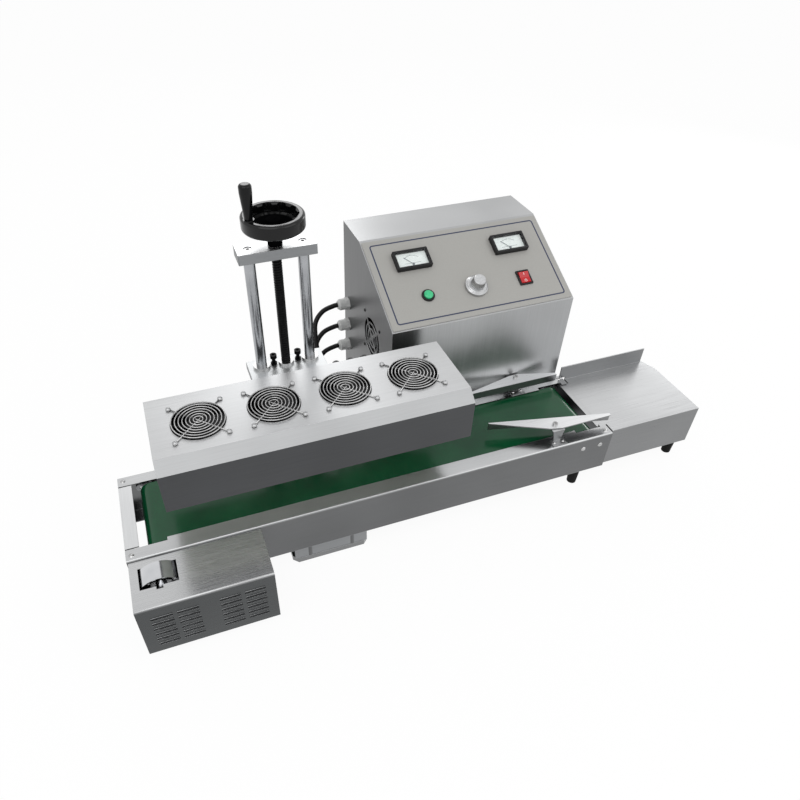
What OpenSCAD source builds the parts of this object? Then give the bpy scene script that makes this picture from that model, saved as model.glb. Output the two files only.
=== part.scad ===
// Bench-top continuous induction cap sealer: belt conveyor with drive box, sealing head on a
// two-column stand, control box with a sloping panel, and a run-off table.
// Millimetres. X runs along the belt, Y towards the control box, Z up from the bench.

/* [Conveyor] */
// Length of the side rails
conveyor_len = 795; // [700:5:900]
// Width over both side rails
conveyor_w = 169; // [150:1:200]
// Height of a side rail
rail_h = 80; // [70:1:100]
// Width of the rail flanges
rail_flange = 27; // [24:1:32]
// Depth of the flange notch beside each belt end
notch_w = 6; // [3:0.5:8]
// Sheet thickness of rails, plates and table
sheet = 2; // [1.5:0.5:3]
// Height of the rubber feet
foot_h = 40; // [25:1:50]
// Diameter of a rubber foot at its top
foot_d = 20; // [16:1:24]
// Distance of the conveyor feet from the rail ends
foot_inset = 41; // [30:1:80]

/* [Belt and rollers] */
// Belt thickness
belt_t = 1.5; // [1:0.25:3]
// Depth of the belt surface below the rail tops
belt_drop = 2.5; // [2.3:0.1:4]
// How far each belt edge runs under its rail flange
belt_tuck = 3; // [1:0.5:5]
// Roller diameter
roller_d = 32; // [26:1:40]
// Diameter of the roller shafts
shaft_d = 12; // [8:1:15]
// Distance of the belt end from the left rail end
belt_inset_left = 29.5; // [26:0.5:40]
// Distance of the belt end from the right rail end
belt_inset_right = 19; // [17:0.5:30]
// Distance between the two bolts of a flange bearing
bearing_pitch = 33; // [32:1:38]

/* [Run-off table] */
// Gap between conveyor and table
table_gap = 5; // [3:0.5:10]
// Table length along the belt
table_len = 180; // [120:5:300]
// Table width
table_w = 152; // [130:1:160]
// Set-back of the table's front edge from the conveyor's
table_setback = 7; // [0:1:10]
// Depth of the table top below the rail tops
table_drop = 2.7; // [2:0.1:6]
// Length of the tongue that bridges the gap to the belt
tongue_len = 10; // [6:1:12]
// Height of the fence above the table
fence_h = 30; // [15:1:60]
// How far the fence reaches back over the rail
fence_overhang = 13; // [6:1:20]

/* [Bottle guides] */
// Distance of the guide pivots from the left rail end
guide_x = 694.5; // [640:0.5:720]
// Height of the guide plates above the rail tops
guide_h = 23; // [18:1:40]
// Height of a guide's upright face
guide_face_h = 14; // [10:1:16]
// Reach of a guide from its pivot to its tip
guide_tip = 109; // [80:1:120]
// Reach of the front guide from its pivot to its tail
guide_tail_front = 101; // [60:1:110]
// Reach of the rear guide from its pivot to its tail
guide_tail_rear = 75; // [50:1:80]
// Inward angle of the front guide
guide_angle = 12.5; // [0:0.5:20]

/* [Drive] */
// Length of the drive box along the rail
drive_len = 188; // [160:1:220]
// Depth of the drive box in front of the rail
drive_d = 84; // [80:1:110]
// Height of the drive box
drive_h = 101; // [95:1:110]
// Set-down of the drive box lid below the rail tops
drive_drop = 3.5; // [2:0.5:8]
// Sheet thickness of covers and boxes
cover_t = 1.5; // [1:0.25:2]
// Diameter of the speed wheel
wheel_d = 68; // [60:1:70]
// Width of the speed wheel
wheel_w = 30; // [20:1:32]
// Height of the speed wheel above the drive box lid
wheel_proud = 8; // [4:0.5:10]

/* [Stand] */
// Distance of the stand's centre from the left rail end
tower_x = 287; // [260:1:320]
// Spacing of the columns
column_pitch = 76; // [74:1:90]
// Column diameter
column_d = 16; // [12:1:20]
// Lead screw diameter
screw_d = 14; // [12:1:16]
// Height of the top plate's underside above the bench
top_plate_z = 445; // [440:1:500]
// Width of the top plate
top_plate_w = 109; // [104:1:130]
// Depth of the top plate
top_plate_d = 34; // [30:1:45]
// Thickness of the top plate
top_plate_t = 15; // [10:1:20]
// Thickness of the base plate
base_t = 10; // [8:1:14]

/* [Handwheel] */
// Handwheel diameter
handwheel_d = 86; // [80:1:120]
// Height of the handwheel's rim
rim_h = 20; // [14:1:26]
// Width of the rim
rim_w = 11; // [9:1:14]
// Finger grips around the rim's inside
grip_count = 10; // [6:1:14]
// Height of the rim above the top plate
rim_lift = 24; // [18:1:34]
// Length of the crank handle
handle_len = 46; // [36:1:70]
// Diameter of the crank handle at its top
handle_d = 17; // [14:1:22]
// Direction of the crank handle from the wheel's centre
handle_angle = 197; // [0:1:359]

/* [Sealing head] */
// Head length along the belt
head_len = 449; // [440:1:500]
// Head depth
head_w = 140; // [136:1:150]
// Head height
head_h = 80; // [76:1:110]
// Distance of the head from the left rail end
head_x = 70; // [50:1:80]
// Set-back of the head's front from the conveyor's front
head_setback = 1; // [-4:1:5]
// Height of the head above the rail tops as pictured
head_gap = 78; // [65:1:90]
// Width of the sloping front edge
bevel_w = 18.5; // [8:0.5:20]
// Drop of the sloping front edge
bevel_h = 15; // [8:0.5:30]

/* [Fans] */
// Fan frame size
fan_size = 80; // [76:1:84]
// Fan depth
fan_depth = 25; // [15:1:28]
// Spacing of the fans
fan_pitch = 105; // [98:1:115]
// Distance of the fan row from the head's front
fan_y = 75.5; // [74:0.5:85]
// Wire diameter of the finger guards
wire_d = 2.2; // [1.5:0.1:3]

/* [Control box] */
// Distance of the control box from the left rail end
box_x = 457; // [440:1:480]
// Width of the control box
box_w = 330; // [300:1:400]
// Depth of the control box
box_d = 242; // [230:1:300]
// Height of the control box above its feet
box_h = 358; // [340:1:400]
// Height of the control box feet
box_foot_h = 8; // [5:1:15]
// Height of the upright front below the sloping panel
front_h = 279; // [265:1:285]
// Depth of the sloping panel, seen from above
slope_d = 157.5; // [150:0.5:170]
// Gap between conveyor and control box
box_gap = 3; // [2.8:0.1:6]
// Thickness of the panel plate
panel_t = 1.5; // [1:0.25:3]

/* [Panel fittings] */
// Width of a meter
meter_w = 62; // [54:1:70]
// Height of a meter
meter_h = 36; // [32:1:44]
// Distance of the meters from the panel's sides
meter_inset = 75; // [50:1:90]
// Distance of the meters from the panel's lower edge
meter_s = 124; // [110:1:135]
// Distance of knob, button and switch from the panel's lower edge
control_s = 54; // [40:1:70]
// Diameter of the power knob's skirt
knob_d = 39; // [30:1:44]
// Diameter of the push button
button_d = 17; // [12:1:20]
// Width of the mains switch
rocker_w = 24; // [20:1:28]
// Height of the mains switch
rocker_h = 28; // [24:1:32]

/* [Cables] */
// Cable diameter
cable_d = 9; // [8:0.5:10]

/* [Hidden] */
$fn = 48;

// Small gaps: turning fits, sheet against sheet, and free clearance round moving pieces
fit_gap = 0.05;
slip_gap = 0.3;
free_gap = 0.6;
// Overshoot of cutting tools past the faces they open
cut = 1;

// Colours
stainless = [0.74, 0.75, 0.76];
chrome = [0.85, 0.86, 0.88];
aluminium = [0.82, 0.83, 0.84];
black = [0.08, 0.08, 0.09];
green = [0.10, 0.42, 0.27];

// Levels and lines of the conveyor
rail_top = foot_h + rail_h;
bend_r = sheet + 1.5;
bearing_t = 10;
roller_r = roller_d / 2;
belt_r = roller_r + slip_gap + belt_t;
belt_top = rail_top - belt_drop;
belt_w = conveyor_w - 2 * (rail_flange - belt_tuck);
belt_y = rail_flange - belt_tuck;
roller_z = belt_top - belt_r;
roller_x = [belt_inset_left + belt_r, conveyor_len - belt_inset_right - belt_r];
shaft_r = shaft_d / 2;
bolt_r = 2.5;
lug = 12;
lug_inset = 8;
rail_screw_y = 10;
strip_w = belt_inset_left - 10;
bed_end = 6;
end_stop = 18;
tie_d = 12;
tie_x = [conveyor_len * 0.2, conveyor_len * 0.5, conveyor_len * 0.8];

// Table
table_x = conveyor_len + table_gap;
table_top = rail_top - table_drop;
table_back = table_setback + table_w;
corner_cut = [12, 28];
foot_pad = 30;
ear_lift = 2.5;

// Drive box and speed wheel
drive_x = 1.5;
drive_top = rail_top - drive_drop;
drive_z = drive_top - drive_h;
wheel_r = wheel_d / 2;
wheel_z = drive_top + wheel_proud - wheel_r;
wheel_x = drive_x + cover_t + wheel_r + 2;
wheel_back = -15;
window = [52, 36];
notch = [9, 5];
motor_r = 26;
motor_x = drive_x + drive_len * 0.68;
motor_z = drive_z + cover_t + motor_r + 14;
gear_case_y = -13;
louvre = [29, 1.8];
louvre_rows = 6;
louvre_step = [35, 12];

// Stand and carriage
tower_y = conveyor_w + 18;
column_r = column_d / 2;
column_x = [tower_x - column_pitch / 2, tower_x + column_pitch / 2];
screw_r = screw_d / 2;
journal_r = screw_r - 2;
base_front = 8;
base_back = tower_y + top_plate_d / 2 + 10;
base_side = [tower_x - 53, tower_x + 73];
plate_top = top_plate_z + top_plate_t;
head_z = rail_top + head_gap;
head_top = head_z + head_h;
head_back = head_setback + head_w;
carriage_w = column_pitch + 42;
carriage_t = 12;
carriage_top = head_top - 15;
carriage_y = [head_back, tower_y + 19];
bush_r = column_r + 3.5;
bush_len = 38;
nut_r = screw_r + 3.5;
stop_x = column_pitch / 4;

// Handwheel
handwheel_r = handwheel_d / 2;
rim_z = plate_top + rim_lift;
hub_r = journal_r + 5;
handle_r = handwheel_r - 8;
handle_at = [tower_x + handle_r * cos(handle_angle), tower_y + handle_r * sin(handle_angle)];
spindle_r = 3.5;

// Sealing head
head_mid = [head_x + head_len / 2, head_setback + head_w / 2, head_z];
coil_plate_t = 8;
coil_t = 8;
ferrite_t = 14;
ferrite_count = 7;
coil_len = head_len - 70;
coil_w = head_w - 46;
coil_band = 26;
fan_x = [for (i = [0 : 3]) head_x + head_len / 2 + (i - 1.5) * fan_pitch];
fan_screw_pitch = fan_size - 8.5;
fan_hole = fan_screw_pitch / 2;
guard_eye_h = wire_d + 0.4;
fan_duct_r = fan_size / 2 - 2;
fan_hub_r = fan_size * 0.21;
fan_top = head_top - cover_t;
fan_bottom = fan_top - fan_depth;

// Control box and its sloping panel
box_y = conveyor_w + box_gap;
box_back_y = box_y + box_d;
box_top = box_foot_h + box_h;
slope_z = box_foot_h + front_h;
slope_rise = box_top - slope_z;
slope_angle = atan2(slope_rise, slope_d);
slope_len = norm([slope_d, slope_rise]);
panel_rim = 10;
panel_side = 2;
meter_u = [meter_inset, box_w - meter_inset];
meter_front = 9;
meter_frame = 4;
dial_pivot = 9;
knob_u = box_w / 2 + 2;
button_u = 80;
rocker_u = box_w - 73;
rocker_r = rocker_h / 2 - 3;
rocker_pivot = -1;
rocker_tilt = 8;
rocker_pin_r = 1.2;
box_fan_at = [box_y + 94, box_top - 150];
gland_r = 12;
gland_len = 22;
gland_bore = cable_d / 2 + 0.5;
cable_seat = 5;
gland_y = box_back_y - 21;
gland_z = [212, 166, 120];
mains_gland = [box_x + box_w - 60, box_foot_h + 60];
head_gland_x = [372, 396, 420];
head_gland_z = head_z + head_h / 2;

// Origin on the bench, under the middle of the whole machine
span_x = [0, table_x + table_len];
span_y = [-drive_d - louvre[1], box_back_y + cover_t + gland_len];
origin = [(span_x[0] + span_x[1]) / 2, (span_y[0] + span_y[1]) / 2, 0];

// Cable routes from the control box glands to the head glands
cable_start_x = box_x - gland_len + cable_seat;
cable_end_y = head_back + gland_len - cable_seat;
function leave(z) = [[cable_start_x, gland_y, z], [cable_start_x - 12, gland_y, z],
    [cable_start_x - 35, gland_y - 4, z - 5], [cable_start_x - 52, gland_y - 14, z - 18],
    [cable_start_x - 58, gland_y - 28, z - 37]];
function arrive(x) = [[x, cable_end_y + 66, head_gland_z - 52], [x, cable_end_y + 59, head_gland_z - 26],
    [x, cable_end_y + 40, head_gland_z - 7], [x, cable_end_y + 14, head_gland_z],
    [x, cable_end_y, head_gland_z]];
route_1 = concat(leave(gland_z[0]), [[380, 345, 147], [378, 321, 127], [375, 290, 119], [373, 258, 128],
    [372, 234, 153]], arrive(head_gland_x[0]));
route_2 = concat(leave(gland_z[1]), [[384, 345, 106], [388, 321, 89], [392, 291, 83], [394, 260, 92],
    [396, 236, 117], [396, 225, 150]], arrive(head_gland_x[1]));
route_3 = concat(leave(gland_z[2]), [[386, 345, 64], [394, 314, 55], [404, 280, 61], [413, 250, 83],
    [418, 231, 115], [420, 224, 150]], arrive(head_gland_x[2]));
cable_sides = 10;
cable_rings = 25;

// Moves machine coordinates, measured from the left front rail corner, to the origin
module place() {
    translate(-origin) children();
}

// Profile in Y and Z, swept along X
module along_x(len) {
    rotate([90, 0, 90]) linear_extrude(len) children();
}

// Profile in X and Z, swept from y to y + len
module along_y(y, len) {
    translate([0, y + len, 0]) rotate([90, 0, 0]) linear_extrude(len) children();
}

module rod_x(r, len) {
    rotate([0, 90, 0]) cylinder(r = r, h = len);
}

module rod_y(r, len) {
    rotate([-90, 0, 0]) cylinder(r = r, h = len);
}

module rounded_rect(w, h, r) {
    square([w - 2 * r, h], center = true);
    square([w, h - 2 * r], center = true);
    for (x = [-1, 1], y = [-1, 1]) {
        translate([x * (w / 2 - r), y * (h / 2 - r)]) circle(r);
    }
}

// Domed screw head on the XY plane
module dome(r, h) {
    ball = (r * r + h * h) / (2 * h);
    rotate_extrude() intersection() {
        translate([0, h - ball]) circle(ball);
        square([r, h]);
    }
}

// Cap screw: head standing on the XY plane, hexagon socket, shank below
module cap_screw(r, h, len) {
    difference() {
        cylinder(r = 1.7 * r, h = h);
        translate([0, 0, h / 2]) cylinder(r = 0.9 * r, h = h, $fn = 6);
    }
    translate([0, 0, -len]) cylinder(r = r - 0.2, h = len + h / 4);
}

// Folded channel, web on Y = 0, flanges towards +Y
module channel_2d(h, flange, t, r) {
    translate([0, r]) square([t, h - 2 * r]);
    for (z = [0, h - t]) {
        translate([r, z]) square([flange - r, t]);
    }
    for (side = [0, 1]) {
        translate([0, side * h]) mirror([0, side]) translate([r, r]) intersection() {
            difference() {
                circle(r);
                circle(r - t);
            }
            translate([-r, -r]) square(r);
        }
    }
}

// Places of the two bolts of the bearing at a roller, in X
function bearing_bolt_x(i) = [roller_x[i] - bearing_pitch / 2, roller_x[i] + bearing_pitch / 2];

// Places of the conveyor feet and of the screws at the rail ends
conveyor_feet = [for (x = [foot_inset, conveyor_len - foot_inset]) for (y = [19, conveyor_w - 19]) [x, y]];
table_feet = [for (y = [table_setback + 20, table_back - 20]) [table_x + table_len - 13, y]];
box_feet = [for (x = [30, box_w - 30]) for (y = [30, box_d - 30]) [box_x + x, box_y + y]];
rail_screws = [for (x = [lug_inset, conveyor_len - lug_inset])
    for (y = [rail_screw_y, conveyor_w - rail_screw_y]) [x, y]];
spacer_x = [tower_x - 25, tower_x + 45];
box_spacer_x = [box_x + 45, box_x + box_w - 80];
box_spacer_z = foot_h + rail_h * 0.4;
table_spacer_y = [conveyor_w * 0.3, conveyor_w * 0.7];
table_spacer_z = foot_h + rail_h * 0.35;

module rail(shaft_hole) {
    difference() {
        translate([0, 0, foot_h]) along_x(conveyor_len) channel_2d(rail_h, rail_flange, sheet, bend_r);
        translate([-cut, rail_flange - notch_w, rail_top - sheet - cut]) {
            cube([roller_x[0] + belt_r - 6 + cut, notch_w + cut, sheet + 2 * cut]);
            translate([roller_x[1] - belt_r - 3, 0, 0]) {
                cube([2 * belt_r + 12, notch_w + cut, sheet + 2 * cut]);
            }
        }
        for (i = [0, 1], x = bearing_bolt_x(i)) {
            translate([x, -cut, roller_z]) rod_y(bolt_r + 0.2, sheet + 2 * cut);
        }
        for (p = rail_screws) {
            if (p[1] < conveyor_w / 2) translate([p[0], p[1], rail_top - sheet - cut]) {
                cylinder(r = bolt_r, h = sheet + 2 * cut);
            }
        }
        for (p = conveyor_feet) {
            if (p[1] < conveyor_w / 2) translate([p[0], p[1], foot_h - cut]) {
                cylinder(r = bolt_r + 0.7, h = sheet + 2 * cut);
            }
        }
        if (shaft_hole) translate([roller_x[0], -cut, roller_z]) rod_y(shaft_r + 2, sheet + 2 * cut);
    }
}

module front_rail() {
    color(stainless) place() rail(true);
}

module back_rail() {
    color(stainless) place() translate([0, conveyor_w, 0]) mirror([0, 1, 0]) rail(false);
}

// Plate between the rails; its top edge is cut down by drop over the width of the belt
module end_web(drop) {
    difference() {
        union() {
            translate([0, sheet, foot_h + bend_r]) {
                cube([sheet, conveyor_w - 2 * sheet, rail_h - 2 * bend_r]);
            }
            translate([0, bend_r, foot_h + sheet]) {
                cube([sheet, conveyor_w - 2 * bend_r, rail_h - 2 * sheet]);
            }
        }
        translate([-cut, belt_y, rail_top - sheet - drop]) cube([sheet + 2 * cut, belt_w, drop + cut]);
    }
    for (y = [bend_r, conveyor_w - bend_r - end_stop]) {
        difference() {
            translate([sheet / 2, y, rail_top - sheet - lug]) cube([lug, end_stop, lug]);
            translate([lug_inset, y < lug ? rail_screw_y : conveyor_w - rail_screw_y, rail_top - lug]) {
                cylinder(r = bolt_r, h = lug);
            }
        }
    }
}

module end_plates() {
    color(stainless) place() {
        end_web(0);
        translate([0, rail_flange - notch_w + 2, rail_top - sheet]) {
            cube([strip_w, conveyor_w - 2 * (rail_flange - notch_w + 2), sheet]);
        }
        translate([conveyor_len, 0, 0]) mirror([1, 0, 0]) end_web(table_drop + 2 * sheet);
    }
}

module frame_spacers() {
    color(stainless) place() {
        for (x = tie_x) {
            translate([x, sheet, roller_z]) rod_y(tie_d / 2, conveyor_w - 2 * sheet);
        }
        for (x = spacer_x, y = [16, conveyor_w - 16]) {
            translate([x, y, base_t]) cylinder(r = 8, h = foot_h - base_t);
        }
        for (x = box_spacer_x) {
            translate([x, conveyor_w, box_spacer_z]) rod_y(7, box_gap);
        }
        for (y = table_spacer_y) {
            translate([conveyor_len, y, table_spacer_z]) rod_x(7, table_gap);
        }
    }
}

module slider_bed() {
    bed_x = roller_x[0] + belt_r + bed_end;
    bed_len = roller_x[1] - roller_x[0] - 2 * (belt_r + bed_end);
    bed_top = belt_top - belt_t - slip_gap;
    color(stainless) place() translate([bed_x, sheet, bed_top]) mirror([0, 0, 1]) {
        cube([bed_len, conveyor_w - 2 * sheet, sheet]);
        for (y = [0, conveyor_w - 3 * sheet]) {
            translate([0, y, 0]) cube([bed_len, sheet, bed_top - roller_z - tie_d / 2]);
        }
        for (x = tie_x) {
            translate([x - bed_x - 4, belt_y, 0]) {
                cube([8, belt_w - 2 * sheet, bed_top - roller_z - tie_d / 2]);
            }
        }
    }
}

// Outline of the belt loop round both roller axes
module loop_2d(r) {
    for (x = roller_x) {
        translate([x, roller_z]) circle(r);
    }
    translate([roller_x[0], roller_z - r]) square([roller_x[1] - roller_x[0], 2 * r]);
}

module belt() {
    color(green) place() along_y(belt_y, belt_w) difference() {
        loop_2d(belt_r);
        loop_2d(belt_r - belt_t);
    }
}

// Roller with shaft from y0 to the rear bearing
module roller(x, y0) {
    collar = 2;
    translate([x, belt_y - collar, roller_z]) rod_y(roller_r, belt_w + 2 * collar);
    translate([x, y0, roller_z]) rod_y(shaft_r, conveyor_w - sheet - slip_gap - y0);
}

module drive_roller() {
    color(chrome) place() roller(roller_x[0], gear_case_y + 1);
}

module idler_roller() {
    color(chrome) place() roller(roller_x[1], sheet + slip_gap);
}

module bearing_2d() {
    difference() {
        union() {
            rounded_rect(bearing_pitch + 14, 14, 6.5);
            circle(shaft_r + 6);
        }
        circle(shaft_r + fit_gap);
        for (x = [-1, 1]) {
            translate([x * bearing_pitch / 2, 0]) circle(bolt_r);
        }
    }
}

module roller_bearings() {
    color(aluminium) place() for (x = roller_x, y = [sheet, conveyor_w - sheet - bearing_t]) {
        along_y(y, bearing_t) translate([x, roller_z]) bearing_2d();
    }
}

// Bolt through a rail web into its bearing
module bearing_bolt() {
    rotate([90, 0, 0]) dome(4.2, 2.4);
    rod_y(bolt_r - 0.1, sheet + bearing_t - 1);
}

module frame_bolts() {
    color(chrome) place() {
        for (i = [0, 1], x = bearing_bolt_x(i)) {
            translate([x, 0, roller_z]) bearing_bolt();
            translate([x, conveyor_w, roller_z]) mirror([0, 1, 0]) bearing_bolt();
        }
        for (p = rail_screws) {
            translate([p[0], p[1], rail_top]) dome(4, 1.8);
            translate([p[0], p[1], rail_top - lug / 2]) cylinder(r = bolt_r - 0.1, h = lug / 2 + 0.2);
        }
        for (x = column_x) {
            translate([x, tower_y, plate_top - 6]) cap_screw(3, 5, top_plate_t + 4);
        }
        for (g = guides) {
            translate([guide_x, g[0], guide_top + sheet]) cap_screw(guide_pin_r, 3.2, sheet);
            translate([guide_x, g[0], guide_top - sheet]) cylinder(r = guide_pin_r, h = 2 * sheet);
            for (x = [-1, 1]) {
                translate([guide_x + x * post_screw, g[0] - g[1], rail_top + sheet]) dome(2.6, 1.6);
            }
        }
    }
}

module foot(h, d) {
    edge = 2;
    rotate_extrude() difference() {
        polygon([[0, 0], [d * 0.4, 0], [d / 2, h], [0, h]]);
        translate([d * 0.4 - edge / 2, -edge / 2]) rotate(45) square(edge, center = true);
    }
}

module feet() {
    color(black) place() {
        for (p = concat(conveyor_feet, table_feet)) {
            translate([p[0], p[1], 0]) foot(foot_h, foot_d);
            translate([p[0], p[1], foot_h - cut]) cylinder(r = bolt_r + 0.5, h = sheet + cut);
        }
        for (p = box_feet) {
            translate([p[0], p[1], 0]) foot(box_foot_h, foot_d);
        }
    }
}

// Bottle guides: pivot line of each guide in Y, and its offset from the post's foot
guide_top = rail_top + guide_h;
guide_pin_r = 2.5;
guide_edge = 16.5;
guide_heel = [9.5, 7.5];
guides = [[29, 19], [conveyor_w - 7, 12]];
post_half = 11;
post_foot = 14;
post_screw = 8;

// Folded post: foot on the rail, tapered web, shelf under the guide plate
module guide_post(reach) {
    translate([-post_half - 2, -post_foot / 2 - reach, 0]) cube([2 * post_half + 4, post_foot, sheet]);
    translate([0, post_foot / 2 - reach, 0]) rotate([90, 0, 0]) linear_extrude(sheet) {
        polygon([[-6, 0], [6, 0], [post_half, guide_h], [-post_half, guide_h]]);
    }
    difference() {
        translate([-post_half, post_foot / 2 - sheet - reach, guide_h - sheet]) {
            cube([2 * post_half, reach + 4, sheet]);
        }
        translate([0, 0, guide_h - sheet - cut]) cylinder(r = guide_pin_r, h = sheet + 2 * cut);
    }
}

module guide_posts() {
    color(stainless) place() for (g = guides) {
        translate([guide_x, g[0], rail_top]) guide_post(g[1]);
    }
}

// Guide plate about its pivot: tapered top with an upright face along the belt side
module guide_plate(tail, heel) {
    difference() {
        union() {
            linear_extrude(sheet) polygon([[-guide_tip, guide_edge - sheet], [-heel, -heel],
                [heel, -heel], [tail, guide_edge - 5], [tail, guide_edge], [-guide_tip, guide_edge]]);
            translate([-guide_tip, guide_edge - sheet, sheet - guide_face_h]) {
                cube([guide_tip + tail, sheet, guide_face_h]);
            }
        }
        translate([0, 0, -cut]) cylinder(r = guide_pin_r + fit_gap, h = sheet + 2 * cut);
    }
}

module guide_plate_front() {
    color(stainless) place() translate([guide_x, guides[0][0], guide_top]) rotate(-guide_angle) {
        guide_plate(guide_tail_front, guide_heel[0]);
    }
}

module guide_plate_rear() {
    color(stainless) place() translate([guide_x, guides[1][0], guide_top]) mirror([0, 1, 0]) {
        guide_plate(guide_tail_rear, guide_heel[1]);
    }
}

// Table outline, drawn in by inset, with its rear right corner cut off
module table_2d(inset) {
    difference() {
        translate([inset, inset]) square([table_len - 2 * inset, table_w - 2 * inset]);
        translate([table_len, table_w - corner_cut[1]]) rotate(atan2(corner_cut[0], corner_cut[1])) {
            translate([-inset, -corner_cut[1]]) square(3 * corner_cut[1]);
        }
    }
}

module extension_table() {
    skirt = table_top - foot_h;
    fence_len = table_len - corner_cut[0] - cut;
    color(stainless) place() difference() {
        union() {
            translate([table_x, table_setback, foot_h]) linear_extrude(skirt) table_2d(0);
            translate([table_x - tongue_len, rail_flange + 2, table_top - sheet]) {
                cube([2 * tongue_len, conveyor_w - 2 * rail_flange - 4, sheet]);
            }
            along_y(table_back - sheet, sheet) translate([table_x, table_top]) {
                polygon([[-fence_overhang, ear_lift + table_drop], [0, ear_lift + table_drop], [0, -sheet],
                    [fence_len, -sheet], [fence_len, fence_h], [-fence_overhang, fence_h]]);
            }
        }
        translate([table_x, table_setback, foot_h]) {
            translate([0, 0, sheet]) linear_extrude(skirt - 2 * sheet) table_2d(sheet);
            translate([sheet, foot_pad, -cut]) {
                cube([table_len - foot_pad - sheet, table_w - 2 * foot_pad, sheet + 2 * cut]);
            }
            translate([sheet, sheet, -cut]) {
                cube([table_len - 2 * foot_pad, table_w - 2 * sheet, sheet + 2 * cut]);
            }
        }
        for (p = table_feet) {
            translate([p[0], p[1], foot_h - cut]) cylinder(r = bolt_r + 0.7, h = sheet + 2 * cut);
        }
    }
}

// Left edge and height of each louvre on the drive box
drive_louvres = [for (group = [0.09, 0.58], col = [0, 1], row = [0 : louvre_rows - 1])
    [drive_x + drive_len * group + col * louvre_step[0], drive_z + drive_h * 0.18 + row * louvre_step[1]]];

module drive_box() {
    color(stainless) place() difference() {
        union() {
            translate([drive_x, 0, drive_z]) along_x(drive_len) difference() {
                translate([-drive_d, 0]) square([drive_d, drive_h]);
                translate([-drive_d, drive_h]) difference() {
                    square(2 * bend_r, center = true);
                    translate([bend_r, -bend_r]) circle(bend_r);
                }
            }
            for (p = drive_louvres) {
                translate([p[0], -drive_d, p[1]]) rod_x(louvre[1], louvre[0]);
            }
        }
        translate([drive_x + cover_t, cover_t - drive_d, drive_z + cover_t]) {
            cube([drive_len - 2 * cover_t, drive_d, drive_h - 2 * cover_t]);
        }
        for (p = drive_louvres) {
            translate([p[0], -drive_d - 2 * louvre[1], p[1] - 2 * louvre[1]]) {
                cube([louvre[0], 2 * louvre[1] + cover_t + cut, 2 * louvre[1]]);
            }
        }
        translate([wheel_x - window[0] / 2, wheel_back + cut - window[1], drive_top - cover_t - cut]) {
            cube([window[0], window[1], cover_t + 2 * cut]);
            translate([window[0] / 2 - notch[0] / 2, -notch[1], 0]) {
                cube([notch[0], 2 * notch[1], cover_t + 2 * cut]);
            }
        }
    }
}

module drive_motor() {
    link = [motor_x - roller_x[0], motor_z - roller_z];
    color([0.3, 0.32, 0.34]) place() {
        difference() {
            along_y(gear_case_y, -gear_case_y - 3) {
                translate([roller_x[0], roller_z]) circle(shaft_r + 6);
                translate([motor_x, motor_z]) circle(motor_r);
                translate([roller_x[0], roller_z]) rotate(atan2(link[1], link[0])) {
                    translate([0, -shaft_r - 4]) square([norm(link), 2 * shaft_r + 8]);
                }
            }
            translate([roller_x[0], gear_case_y - cut, roller_z]) {
                rod_y(shaft_r + fit_gap, -gear_case_y + 2 * cut);
            }
        }
        for (a = [30, 150, 270]) {
            translate([motor_x + 20 * cos(a), -4, motor_z + 20 * sin(a)]) rod_y(4, 4);
        }
        translate([motor_x, gear_case_y - 58, motor_z]) rod_y(motor_r, 59);
        translate([motor_x, gear_case_y - 64, motor_z]) rod_y(motor_r * 0.6, 7);
    }
}

// Controller body on the drive box front and the depth that the wheel's axle enters it
speed_body_r = 16;
speed_body_len = 22;
axle_r = 4;
axle_front = cover_t - drive_d + speed_body_len - 8;

module speed_control() {
    color(black) place() translate([wheel_x, cover_t - drive_d, wheel_z]) difference() {
        union() {
            rod_y(speed_body_r, speed_body_len - 6);
            rod_y(axle_r + 4, speed_body_len);
        }
        translate([0, speed_body_len - 9, 0]) rod_y(axle_r + fit_gap, 10);
    }
}

module speed_wheel() {
    rim = 4;
    color(chrome) place() translate([wheel_x, wheel_back - wheel_w, wheel_z]) {
        difference() {
            rod_y(wheel_r, wheel_w);
            translate([0, -cut, 0]) rod_y(wheel_r - rim, wheel_w * 0.4 + cut);
            translate([0, wheel_w * 0.6, 0]) rod_y(wheel_r - rim, wheel_w * 0.4 + cut);
        }
        rod_y(axle_r + 4, wheel_w);
        translate([0, axle_front - wheel_back + wheel_w, 0]) rod_y(axle_r, wheel_back - axle_front);
    }
}

module base_plate() {
    corner = 8;
    color(stainless) place() difference() {
        linear_extrude(base_t) polygon([[base_side[0] + corner, base_front],
            [base_side[1] - corner, base_front], [base_side[1], base_front + corner],
            [base_side[1], base_back], [base_side[0], base_back],
            [base_side[0], base_front + corner]]);
        translate([tower_x, tower_y, 2]) cylinder(r = journal_r + fit_gap, h = base_t);
    }
}

module columns() {
    color(chrome) place() for (x = column_x) {
        difference() {
            translate([x, tower_y, base_t]) cylinder(r = column_r, h = top_plate_z - base_t);
            translate([x, tower_y, top_plate_z - 12]) cylinder(r = 3, h = 12 + cut);
        }
    }
}

module top_plate() {
    color(aluminium) place() difference() {
        translate([tower_x, tower_y, top_plate_z]) linear_extrude(top_plate_t) {
            rounded_rect(top_plate_w, top_plate_d, 1.5);
        }
        translate([tower_x, tower_y, top_plate_z - cut]) {
            cylinder(r = journal_r + fit_gap, h = top_plate_t + 2 * cut);
        }
        for (x = column_x) {
            translate([x, tower_y, top_plate_z - cut]) cylinder(r = 3, h = top_plate_t + 2 * cut);
            translate([x, tower_y, plate_top - 6]) cylinder(r = 5.5, h = 6 + cut);
        }
    }
}

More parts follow.
